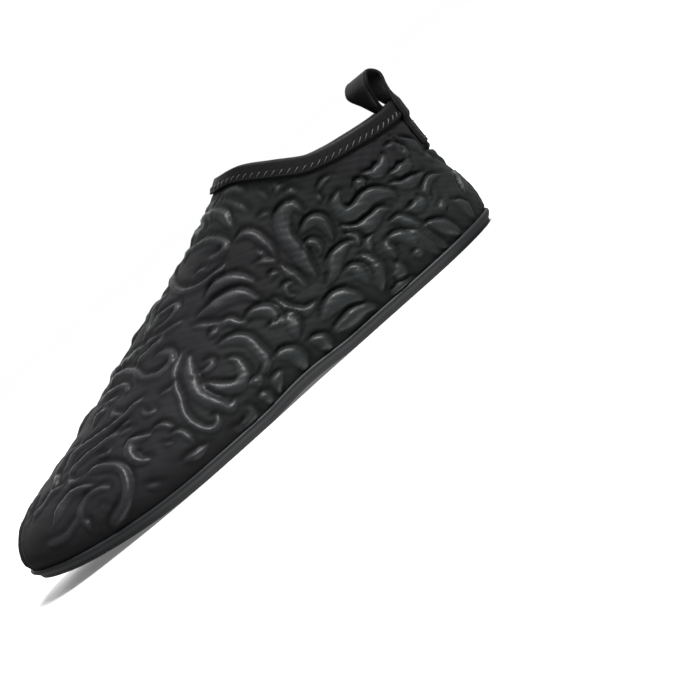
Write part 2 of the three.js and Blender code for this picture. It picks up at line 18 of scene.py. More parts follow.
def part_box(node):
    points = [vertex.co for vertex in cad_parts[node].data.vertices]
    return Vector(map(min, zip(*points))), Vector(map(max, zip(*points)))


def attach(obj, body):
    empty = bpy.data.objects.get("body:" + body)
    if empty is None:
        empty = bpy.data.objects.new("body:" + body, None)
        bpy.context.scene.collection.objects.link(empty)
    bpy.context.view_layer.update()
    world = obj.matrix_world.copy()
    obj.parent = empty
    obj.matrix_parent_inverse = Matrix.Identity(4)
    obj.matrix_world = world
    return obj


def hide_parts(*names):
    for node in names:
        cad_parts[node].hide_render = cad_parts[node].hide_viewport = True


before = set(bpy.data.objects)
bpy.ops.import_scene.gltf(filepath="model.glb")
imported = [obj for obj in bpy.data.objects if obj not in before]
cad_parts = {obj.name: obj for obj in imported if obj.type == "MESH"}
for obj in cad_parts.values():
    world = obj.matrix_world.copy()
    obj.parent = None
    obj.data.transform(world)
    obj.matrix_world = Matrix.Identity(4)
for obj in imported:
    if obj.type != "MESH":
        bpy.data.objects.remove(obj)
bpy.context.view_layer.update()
mm = 0.001
print("frame nodes:", sorted(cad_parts))

# %% [markdown]
# The driving sizes
#
# A shoe is drawn from a few sizes and from short tables that say how its sections change from toe to
# heel. The same sizes and tables that made the solids are repeated here, in millimetres, so that the
# dressed surfaces lie exactly on them. Each table holds shares of a named size, which is how a last maker
# grades a shoe up or down.

# %% Driving sizes in millimetres
length = 250
ball_width = 93
throat_height = 90
heel_height = 66
opening_length = 79
gap = 0.3
lug_depth = 1.6
plate_thickness = 3.6
side_bevel = 2.2
edge_round = 0.7
ledge = 1.2
toe_spring = 10
spring_reach = 85
arch_lift = 1.4
arch_reach = 50
arch_at = 0.58
wall = 2.2
toe_bulge = 2.3
bulge_reach = 32
insole_thickness = 2.6
insole_clearance = 0.9
binding_height = 8
binding_thickness = 1.1
binding_clearance = 0.4

# %% Tables of sections, heel at 1 and toe at 0
# Columns: share of the length, share of half the ball's width, the middle's way towards the inner side
outline_rows = np.array([
    (0.00, 0.905, 0.151),
    (0.08, 0.955, 0.086),
    (0.16, 0.960, 0.050),
    (0.28, 1.000, 0.006),
    (0.36, 0.998, -0.018),
    (0.48, 0.872, -0.048),
    (0.60, 0.722, -0.066),
    (0.72, 0.655, -0.060),
    (0.84, 0.652, -0.033),
    (0.93, 0.612, -0.017),
    (1.00, 0.570, -0.011),
])
# Columns: share of the way from toe to throat, height of the ridge as a share of the throat's height
ridge_rows = np.array([
    (0.00, 0.300),
    (0.05, 0.352),
    (0.10, 0.395),
    (0.17, 0.438),
    (0.28, 0.494),
    (0.44, 0.592),
    (0.56, 0.672),
    (0.69, 0.748),
    (0.80, 0.818),
    (0.90, 0.895),
    (1.00, 1.000),
    (1.04, 1.070),
    (1.09, 1.210),
    (1.17, 1.520),
    (1.29, 1.900),
    (1.46, 2.100),
])
# Columns: share of the length, top power, side power, lean of the ridge towards the inner side
vault_rows = np.array([
    (0.00, 2.5, 2.00, 0.010),
    (0.12, 2.3, 1.90, 0.045),
    (0.28, 2.0, 1.75, 0.085),
    (0.42, 1.9, 1.70, 0.100),
    (0.56, 2.1, 1.85, 0.085),
    (0.68, 2.5, 2.15, 0.060),
    (0.85, 2.4, 2.10, 0.025),
    (1.00, 2.3, 2.00, 0.000),
])
# Columns: share of the opening in front of the heel, rise from the heel's height to the throat's
collar_rows = np.array([
    (0.00, 0.00),
    (0.15, 0.02),
    (0.32, 0.10),
    (0.45, 0.18),
    (0.58, 0.32),
    (0.74, 0.65),
    (0.88, 0.93),
    (1.00, 1.00),
])
# Columns: share of the heel's height, how far the heel's back stands in as a share of the wall
heel_rows = np.array([
    (0.00, 0.00),
    (0.25, 0.10),
    (0.60, 0.45),
    (0.85, 0.30),
    (1.00, 0.00),
])
toe_corner = (0.28, 2.3)
heel_corner = (0.14, 2.1)
nose_corner = (0.055, 2.1)
# How the rows crowd at the toe's tip, and the number that lets the bulge reach its full size
front_power = 1.35
full_bulge = 6.75

# %% [markdown]
# The form as a function
#
# The upper is one surface with two directions: turn goes round the shoe, from the heel along the outer
# side to the toe and back along the inner side, and rise goes up from the sole's edge to the collar. A
# subdivided cage could make the same shape, but a function gives any fineness for one price, and it lets
# seams, stitches and the relief find their place on the surface by themselves.


# %% Curves through the tables
def through(rows, column=1):
    x = rows[:, 0]
    y = rows[:, column]
    slopes = np.empty(len(x))
    slopes[1:-1] = (y[2:] - y[:-2]) / (x[2:] - x[:-2])
    slopes[0] = (y[1] - y[0]) / (x[1] - x[0])
    slopes[-1] = (y[-1] - y[-2]) / (x[-1] - x[-2])

    def curve(value):
        place = np.clip(value, x[0], x[-1])
        i = np.clip(np.searchsorted(x, place) - 1, 0, len(x) - 2)
        width = x[i + 1] - x[i]
        t = (place - x[i]) / width
        bend = t * (1 - t) ** 2 * slopes[i] - t ** 2 * (1 - t) * slopes[i + 1]
        return y[i] + (y[i + 1] - y[i]) * t ** 2 * (3 - 2 * t) + bend * width

    return curve


def rounding(distance, corner):
    reach, power = corner
    left = np.clip(1 - distance / reach, 0, 1)
    return np.maximum(1 - left ** power, 0) ** (1 / power)


def smooth(value):
    t = np.clip(value, 0, 1)
    return t * t * (3 - 2 * t)


def running_length(line):
    steps = np.linalg.norm(np.diff(line, axis=0), axis=-1)
    return np.concatenate([[0], np.cumsum(steps)])


half_share = through(outline_rows)
middle_share = through(outline_rows, 2)
ridge_share = through(ridge_rows)
top_power = through(vault_rows)
side_power = through(vault_rows, 2)
lean_share = through(vault_rows, 3)
collar_share = through(collar_rows)
heel_share = through(heel_rows)
throat_at = 1 - opening_length / length
edge_roll = binding_clearance + binding_thickness
binding_leg = binding_height - edge_roll
feather_length = length - 2 * ledge


# %% The sole's outline and heights
def ends(at):
    return rounding(at, toe_corner) * rounding(1 - at, heel_corner)


def half_width(at):
    return half_share(at) * ball_width / 2 * ends(at)


def middle(at):
    return middle_share(at) * ball_width


def ground_height(at):
    ahead = np.maximum(spring_reach - at * length, 0) / spring_reach
    waist = (at - arch_at) * length / (arch_reach / 2)
    arch = np.maximum(1 - waist ** 2, 0)
    return toe_spring * ahead ** 2 + arch_lift * arch ** 2


def feather_height(at):
    return ground_height(at) + lug_depth + plate_thickness + gap


def at_turn(turn):
    return (1 + np.cos(turn * 2 * np.pi)) / 2


def side_of(turn):
    return -np.sign(np.sin(turn * 2 * np.pi))


def outline_point(turn, inset=0.0):
    small_turn = 0.002

    def plain(t):
        at = at_turn(t)
        return np.stack([at * length, middle(at) + side_of(t) * half_width(at)], -1)

    along = plain(turn + small_turn) - plain(turn - small_turn)
    along = along / np.linalg.norm(along, axis=-1, keepdims=True)
    normal = np.stack([along[..., 1], -along[..., 0]], -1)
    return plain(turn) + normal * np.asarray(inset)[..., None]


# %% The upper's outer face
def collar_height(to_heel):
    return heel_height + (throat_height - heel_height) * collar_share(1 - to_heel) - edge_roll


def ridge_height(at):
    full = ridge_share(at / throat_at) * (throat_height - edge_roll)
    return feather_height(at) + (full - feather_height(at)) * rounding(at, nose_corner)


def upper_base(turn, rise):
    to_heel = at_turn(turn)
    front = throat_at * rise ** front_power
    top_back = heel_height - edge_roll
    top_front = throat_height - edge_roll
    back_height = feather_height(1.0) + (top_back - feather_height(1.0)) * rise
    back_at = 1 - heel_share(back_height / heel_height) * wall / length

    def between(start, end, share):
        return (1 - share) * start + share * end

    def blend(bottom, top, ahead, behind, low_toe, low_heel, high_toe, high_heel):
        corners = between(between(low_toe, low_heel, to_heel), between(high_toe, high_heel, to_heel), rise)
        return between(bottom, top, rise) + (1 - to_heel) * ahead + to_heel * behind - corners

    at = blend(to_heel, throat_at + (1 - throat_at) * to_heel, front, back_at, 0, 1, throat_at, 1)
    height = blend(feather_height(to_heel), collar_height(to_heel), ridge_height(front), back_height,
                   feather_height(0.0), feather_height(1.0), top_front, top_back)
    heel_in = heel_share(height / heel_height) * wall / length * smooth((at - throat_at) / (1 - throat_at))
    station = np.clip(at + heel_in, 0, 1)
    low = feather_height(station)
    up = np.clip((height - low) / np.maximum(ridge_height(station) - low, 1e-6), 0, 1)
    vault = np.maximum(1 - up ** top_power(station), 0) ** (1 / side_power(station))
    spread = (half_width(station) - ledge * ends(station)) * vault
    shift = lean_share(station) * ball_width * up ** 1.5
    across = middle(station) + shift + side_of(turn) * spread
    return np.stack(np.broadcast_arrays(ledge + at * feather_length, across, height), -1)


def upper_point(turn, rise):
    turn, rise = np.broadcast_arrays(np.asarray(turn, float), np.asarray(rise, float))
    point = upper_base(turn, rise)
    climb = np.clip((point[..., 2] - feather_height(at_turn(turn))) / bulge_reach, 0, 1)
    bulge = toe_bulge * full_bulge * climb * (1 - climb) ** 2
    out = outline_point(turn, -1.0) - outline_point(turn)
    point[..., :2] += out * bulge[..., None]
    return point


# %% Directions, offsets and lengths on the upper
def upper_normal(turn, rise):
    turn, rise = np.broadcast_arrays(np.asarray(turn, float), np.asarray(rise, float))
    step = 0.004
    upward = upper_point(turn, np.minimum(rise + step, 1)) - upper_point(turn, np.maximum(rise - step, 0))
    along = upper_point(turn + step, rise) - upper_point(turn - step, rise)
    normal = np.cross(upward, along)
    return normal / np.linalg.norm(normal, axis=-1, keepdims=True)


def beside(turn, rise, distance):
    return upper_point(turn, rise) + upper_normal(turn, rise) * np.asarray(distance)[..., None]


def rise_below_edge(turn, drop):
    turn = np.atleast_1d(np.asarray(turn, float))
    rises = np.linspace(1, 0.45, 160)
    line = upper_point(turn[:, None], rises[None, :])
    gone = np.concatenate([
        np.zeros((len(turn), 1)),
        np.cumsum(np.linalg.norm(np.diff(line, axis=1), axis=-1), axis=1),
    ], axis=1)
    drop = np.broadcast_to(np.asarray(drop, float), turn.shape)
    return np.array([np.interp(d, g, rises) for d, g in zip(drop, gone)])


def collar_point(turn, across, drop):
    turn = np.asarray(turn, float)
    across = np.broadcast_to(np.asarray(across, float), turn.shape)
    if drop > 0:
        return beside(turn, rise_below_edge(turn, drop), across)
    on = upper_point(turn, 1.0) - upper_point(turn, 0.97)
    on = on / np.linalg.norm(on, axis=-1, keepdims=True)
    return beside(turn, 1.0, across) + on * -drop


# Turns that part a line round the shoe into even lengths, measured at one rise
def even_turns(count, rise):
    turns = np.linspace(0, 1, 2001)
    line = upper_point(turns, rise)
    gone = running_length(line)
    return np.interp(np.linspace(0, gone[-1], count + 1)[:-1], gone, turns)


girth = running_length(upper_point(np.linspace(0, 1, 801), 0.4))[-1]
print("girth at mid height:", round(float(girth)), "mm")

# %% [markdown]
# From grids to meshes
#
# Every surface of the shoe is a grid of points: rows one way, columns the other. One small function turns
# such a grid into faces, another makes the object. The points are moulded in millimetres and scaled to
# metres at the very end, and the object itself stays unturned at the origin, so that the piece lies where
# the solid lies.

# %% Grids and pieces
toe_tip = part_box("outsole")[0][0] / mm


def grid_faces(rows, columns, closed, start=0, flip=False):
    i, j = np.meshgrid(np.arange(rows - 1), np.arange(columns if closed else columns - 1), indexing="ij")
    ahead = (j + 1) % columns
    corners = [i * columns + j, i * columns + ahead, (i + 1) * columns + ahead, (i + 1) * columns + j]
    if flip:
        corners = corners[::-1]
    return (np.stack(corners, -1).reshape(-1, 4) + start).tolist()


def place_in_scene(name, data):
    item = bpy.data.objects.new(name, data)
    bpy.context.scene.collection.objects.link(item)
    return item


def make_piece(name, points, faces, materials, slots=None):
    mesh = bpy.data.meshes.new(name)
    points = np.asarray(points, float).reshape(-1, 3).copy()
    points[:, 0] += toe_tip
    mesh.from_pydata((points * mm).tolist(), [], faces)
    mesh.shade_smooth()
    for material in materials:
        mesh.materials.append(material)
    if slots is not None:
        mesh.polygons.foreach_set("material_index", np.asarray(slots, np.int32))
    mesh.update()
    print(name, "has", sum(len(face) - 2 for face in faces), "triangles")
    return place_in_scene(name, mesh)


def face_outwards(piece, weld=0.0):
    shell = bmesh.new()
    shell.from_mesh(piece.data)
    if weld:
        bmesh.ops.remove_doubles(shell, verts=shell.verts, dist=weld)
    bmesh.ops.recalc_face_normals(shell, faces=shell.faces)
    shell.to_mesh(piece.data)
    shell.free()
    piece.data.shade_smooth()


def without_repeats(corners):
    return [corner for place, corner in enumerate(corners) if corner not in corners[:place]]


def add_numbers(piece, name, values):
    attribute = piece.data.attributes.new(name, "FLOAT", "POINT")
    attribute.data.foreach_set("value", np.asarray(values, np.float32).ravel())


def add_map(piece, across, up):
    corners = np.empty(len(piece.data.loops), np.int32)
    piece.data.loops.foreach_get("vertex_index", corners)
    layer = piece.data.uv_layers.new(name="Cloth")
    layer.data.foreach_set("uv", np.stack([across[corners], up[corners]], -1).astype(np.float32).ravel())


# %% [markdown]
# Shader maths written as sums
#
# A finish is a little arithmetic on noise and on the piece's own attributes. Wiring every sum by hand
# hides what it does, so one small class wraps a socket and lets Python's own signs build the Math nodes.
# Every other node comes from one function that takes the node's type, its settings and its inputs.


# %% Sockets with arithmetic
class Value:
    def __init__(self, tree, socket):
        self.tree = tree
        self.socket = socket

    def maths(self, operation, first, second=0.0):
        return add_node(self.tree, "ShaderNodeMath", {"operation": operation}, {0: first, 1: second})

    def __add__(self, other):
        return self.maths("ADD", self, other)

    def __radd__(self, other):
        return self.maths("ADD", other, self)

    def __sub__(self, other):
        return self.maths("SUBTRACT", self, other)

    def __rsub__(self, other):
        return self.maths("SUBTRACT", other, self)

    def __mul__(self, other):
        return self.maths("MULTIPLY", self, other)

    def __rmul__(self, other):
        return self.maths("MULTIPLY", other, self)

    def sine(self):
        return self.maths("SINE", self)

    def size(self):
        return self.maths("ABSOLUTE", self)

    def ramp(self, low, high):
        return add_node(self.tree, "ShaderNodeMapRange", {"interpolation_type": "SMOOTHSTEP"},
                        {"Value": self, "From Min": low, "From Max": high})


def add_node(tree, kind, settings=None, inputs=None, output=0):
    node = tree.nodes.new(kind)
    for name, setting in (settings or {}).items():
        setattr(node, name, setting)
    for name, value in (inputs or {}).items():
        if isinstance(value, Value):
            tree.links.new(value.socket, node.inputs[name])
        else:
            node.inputs[name].default_value = value
    return Value(tree, node.outputs[output])


def mix_colours(share, first, second):
    colours = {6: (*first, 1) if isinstance(first, tuple) else first,
               7: (*second, 1) if isinstance(second, tuple) else second}
    return add_node(share.tree, "ShaderNodeMix", {"data_type": "RGBA"}, {0: share, **colours}, output=2)


# %% Starting a material
def new_material(name, constants):
    material = bpy.data.materials.new(name)
    material.use_nodes = True
    tree = material.node_tree
    shader = tree.nodes["Principled BSDF"]
    for socket, value in constants.items():
        shader.inputs[socket].default_value = value
    return material, tree, shader


def plug(tree, shader, socket, value):
    tree.links.new(value.socket, shader.inputs[socket])


def object_place(tree):
    return add_node(tree, "ShaderNodeTexCoord", output=3)


def noise(tree, place, scale, detail=3.0, roughness=0.55):
    return add_node(tree, "ShaderNodeTexNoise", {"noise_dimensions": "3D"},
                    {"Vector": place, "Scale": scale, "Detail": detail, "Roughness": roughness})


def attribute(tree, name, output=2):
    return add_node(tree, "ShaderNodeAttribute", {"attribute_name": name}, output=output)


def bump(tree, shader, height, strength, distance):
    sizes = {"Height": height, "Strength": strength, "Distance": distance}
    plug(tree, shader, "Normal", add_node(tree, "ShaderNodeBump", None, sizes))


# %% [markdown]
# The stretch fabric
#
# The upper is a knitted shell with a thin film puffed over foam, so it is nearly black and matte, and the
# crowns of the relief catch the light where the film is drawn tight. The made surface carries two numbers
# at each point: relief is how far the point stands up, and valley is how deep it lies in a stroke's
# groove. The finish paints shade into the valleys and makes the crowns a little smoother and paler; the
# paler colour is partly the film's own grey and partly a painted highlight, with painted glints in a
# speckle as fine as the knit.


# %% Upper fabric
def cloth_lines(tree, pitch_across, pitch_up):
    place = add_node(tree, "ShaderNodeUVMap", {"uv_map": "Cloth"})
    parts = add_node(tree, "ShaderNodeSeparateXYZ", None, {0: place})
    across = parts
    up = Value(tree, parts.socket.node.outputs[1])
    ribs = (across * (2 * math.pi / pitch_across)).sine()
    rows = (up * (2 * math.pi / pitch_up)).sine()
    return ribs, rows


def upper_fabric():
    material, tree, shader = new_material("upper_fabric", {
        "Specular IOR Level": 0.30,
        "Coat Roughness": 0.34,
        "Sheen Weight": 0.03,
        "Sheen Roughness": 0.45,
    })
    place = object_place(tree)
    relief = attribute(tree, "relief")
    valley = attribute(tree, "valley")
    ribs, rows = cloth_lines(tree, 0.62, 0.78)
    knit = ribs * rows
    speckle = noise(tree, place, 2600.0, 2.0).ramp(0.44, 0.66)
    patchy = noise(tree, place, 38.0, 4.0)
    # Painted light: crowns get a paler colour, partly the film's own grey and partly a painted highlight,
    # the speckle paints glints on them, and the valleys get painted shade
    crown = relief.ramp(0.15, 1.1)
    shade = (crown * (0.55 + 0.40 * speckle) + 0.28 * patchy) * (1.0 - 0.85 * valley)
    tint = noise(tree, place, 14.0, 1.0).ramp(0.42, 0.6)
    dark = mix_colours(tint, (0.0042, 0.0040, 0.0050), (0.0038, 0.0043, 0.0044))
    pale = mix_colours(tint, (0.027, 0.026, 0.0315), (0.0245, 0.0285, 0.0290))
    colour = mix_colours(shade, dark, pale)
    plug(tree, shader, "Base Color", colour)
    rough = 0.74 - 0.29 * crown - 0.07 * speckle * crown + 0.08 * patchy + 0.15 * valley
    plug(tree, shader, "Roughness", rough)
    plug(tree, shader, "Coat Weight", crown * (0.12 + 0.30 * speckle))
    bump(tree, shader, 0.3 * knit + 0.8 * noise(tree, place, 2400.0, 3.0), 0.4, 0.0002)
    return material


fabric = upper_fabric()
print("made", fabric.name)


# %% Lining, binding tape, loop tape, thread and insole cloth
def lining_jersey():
    material, tree, shader = new_material("lining_jersey", {
        "Roughness": 0.9,
        "Specular IOR Level": 0.25,
        "Sheen Weight": 0.25,
        "Sheen Roughness": 0.6,
    })
    place = object_place(tree)
    cells = add_node(tree, "ShaderNodeTexVoronoi", {"feature": "F1"}, {"Vector": place, "Scale": 900.0})
    colour = mix_colours(noise(tree, place, 60.0), (0.006, 0.007, 0.010), (0.012, 0.013, 0.018))
    plug(tree, shader, "Base Color", colour)
    bump(tree, shader, cells, 0.5, 0.0002)
    return material


def woven_tape(name, dark, pale, rib_pitch, gloss):
    material, tree, shader = new_material(name, {
        "Specular IOR Level": 0.22,
        "Sheen Weight": 0.02,
        "Sheen Roughness": 0.4,
    })
    place = object_place(tree)
    ribs, rows = cloth_lines(tree, rib_pitch, 0.55)
    worn = noise(tree, place, 90.0, 4.0)
    colour = mix_colours(0.35 * worn + 0.3 * ribs.size() * worn, dark, pale)
    plug(tree, shader, "Base Color", colour)
    plug(tree, shader, "Roughness", gloss + 0.12 * worn)
    bump(tree, shader, ribs + 0.45 * rows + 0.5 * noise(tree, place, 2400.0, 2.0), 0.3, 0.00016)
    return material


def sewing_thread(name, dark, pale):
    material, tree, shader = new_material(name, {"Roughness": 0.55, "Sheen Weight": 0.2})
    place = object_place(tree)
    colour = mix_colours(noise(tree, place, 500.0), dark, pale)
    plug(tree, shader, "Base Color", colour)
    bump(tree, shader, noise(tree, place, 4000.0, 1.0), 0.5, 0.0001)
    return material


lining = lining_jersey()
binding_tape = woven_tape("binding_tape", (0.003, 0.003, 0.0035), (0.012, 0.012, 0.0135), 0.7, 0.60)
loop_tape = woven_tape("loop_tape", (0.0022, 0.0022, 0.0026), (0.0075, 0.0075, 0.0085), 0.85, 0.56)
grey_thread = sewing_thread("grey_thread", (0.038, 0.038, 0.041), (0.115, 0.115, 0.12))
black_thread = sewing_thread("black_thread", (0.010, 0.010, 0.011), (0.035, 0.035, 0.037))
insole_cloth = woven_tape("insole_foam", (0.010, 0.010, 0.012), (0.028, 0.028, 0.032), 1.1, 0.85)
print("made", lining.name, binding_tape.name, loop_tape.name, grey_thread.name, insole_cloth.name)


# %% Sole rubber
def sole_rubber():
    material, tree, shader = new_material("sole_rubber", {
        "Specular IOR Level": 0.36,
    })
    place = object_place(tree)
    stain = noise(tree, place, 45.0, 5.0)
    grain = noise(tree, place, 1800.0, 3.0)
    raised = attribute(tree, "relief")
    painted_flank_light = attribute(tree, "painted_flank_light")
    scuff = (noise(tree, place, 220.0, 5.0).ramp(0.55, 0.8)) * raised
    # Painted light: the side rings are painted paler as a painted reflection of the pale floor; stain is
    # random tone and scuff is wear on the lugs
    shade = 0.5 * stain * (1.0 - 0.6 * painted_flank_light) + 0.5 * scuff + 0.75 * painted_flank_light
    colour = mix_colours(shade, (0.0045, 0.0047, 0.0056), (0.027, 0.029, 0.031))
    plug(tree, shader, "Base Color", colour)
    plug(tree, shader, "Roughness", 0.40 + 0.16 * stain + 0.16 * scuff)
    bump(tree, shader, grain + 0.4 * noise(tree, place, 500.0, 2.0), 0.22, 0.00015)
    return material


rubber = sole_rubber()
print("made", rubber.name)

# %% [markdown]
# Where the scrolls go
#
# The relief is a running scroll of leaves, hooks and arches, heat-pressed over foam. The reference shows
# the shoe leaning with its forefoot bent, so each stroke is charted as the path it takes in that view,
# and a small model of the view lays it on the straight shoe: the shoe's own surface is bent, turned and
# scaled the same way, and each charted place takes the visible point of the surface nearest to it. From
# there on the strokes are lines in space.

# %% The view of the leaning shoe
view_azimuth = math.radians(-0.5)
view_elevation = math.radians(6.2)
view_roll = math.radians(41.6)
view_scale = 2.415
view_middle = (214.2, 367.6)
view_distance = 900.0
view_pivot_height = 35.0
view_length_share = 0.928
bend_angle = math.radians(18.4)
bend_start = 0.552
bend_over = 0.4


def bend_forefoot(points):
    whole = length * view_length_share
    x = (points[..., 0] - length / 2) * view_length_share
    z = points[..., 2]
    hinge = (bend_start - 0.5) * whole
    reach = bend_over * whole
    gone = np.clip((hinge - x) / reach, 0, None)
    angle = bend_angle * np.minimum(gone, 1)
    curve = bend_angle / reach
    rest = np.maximum(gone - 1, 0) * reach
    line_x = hinge - np.sin(angle) / curve - rest * np.cos(angle)
    line_z = (1 - np.cos(angle)) / curve + rest * np.sin(angle)
    bent = points.copy()
    bent[..., 0] = np.where(x < hinge, line_x + np.sin(angle) * z, x)
    bent[..., 2] = np.where(x < hinge, line_z + np.cos(angle) * z, z)
    return bent


def view_axes(azimuth, elevation):
    toward = np.array([
        math.sin(azimuth) * math.cos(elevation),
        -math.cos(azimuth) * math.cos(elevation),
        math.sin(elevation),
    ])
    right = np.array([math.cos(azimuth), math.sin(azimuth), 0.0])
    return toward, right, np.cross(toward, right)


def into_view(points):
    toward, right, up = view_axes(view_azimuth, view_elevation)
    offset = bend_forefoot(points) - np.array([0.0, 0.0, view_pivot_height])
    closer = view_scale * view_distance / (view_distance - offset @ toward)
    x = offset @ right * closer
    y = offset @ up * closer
    turned_x = math.cos(view_roll) * x - math.sin(view_roll) * y
    turned_y = math.sin(view_roll) * x + math.cos(view_roll) * y
    return np.stack([view_middle[0] + turned_x, view_middle[1] - turned_y], -1)


# %% Finding the surface under a charted place
chart_turns = np.linspace(-0.01, 0.56, 300)
chart_rises = np.linspace(0, 1, 150)
chart_grid = np.stack(np.meshgrid(chart_turns, chart_rises, indexing="ij"), -1).reshape(-1, 2)
chart_points = upper_point(chart_grid[:, 0], chart_grid[:, 1])
chart_seen = into_view(chart_points)
chart_step = 0.002
across_seen = into_view(upper_point(chart_grid[:, 0] + chart_step, chart_grid[:, 1])) - chart_seen
higher = np.minimum(chart_grid[:, 1] + chart_step, 1)
up_seen = into_view(upper_point(chart_grid[:, 0], higher)) - chart_seen
facing = across_seen[:, 0] * up_seen[:, 1] - across_seen[:, 1] * up_seen[:, 0]
# The outer side's own middle always faces the view, so it says which sign is the near side
middle_facing = np.median(facing[(chart_grid[:, 0] > 0.2) & (chart_grid[:, 0] < 0.3)])
visible = facing * np.sign(middle_facing) > 0
chart_grid = chart_grid[visible]
chart_seen = chart_seen[visible]


neighbours = 5


def on_surface(places):
    found = np.empty((len(places), 2))
    for k, place in enumerate(places):
        gap_to = ((chart_seen - place) ** 2).sum(-1)
        near = np.argpartition(gap_to, neighbours)[:neighbours]
        weight = 1 / (gap_to[near] + 0.05)
        found[k] = (chart_grid[near] * weight[:, None]).sum(0) / weight.sum()
    return found


def smooth_path(points, spacing):
    points = np.asarray(points, float)
    ends_added = np.concatenate([[2 * points[0] - points[1]], points, [2 * points[-1] - points[-2]]])
    pieces = []
    for k in range(len(points) - 1):
        p0, p1, p2, p3 = ends_added[k:k + 4]
        count = max(int(np.linalg.norm(p2 - p1) / spacing), 2)
        t = np.linspace(0, 1, count, endpoint=False)[:, None]
        pieces.append(0.5 * (2 * p1 + (p2 - p0) * t + (2 * p0 - 5 * p1 + 4 * p2 - p3) * t ** 2
                             + (3 * p1 - p0 - 3 * p2 + p3) * t ** 3))
    pieces.append(points[-1:])
    return np.concatenate(pieces)


print("charted surface points in view:", len(chart_grid))

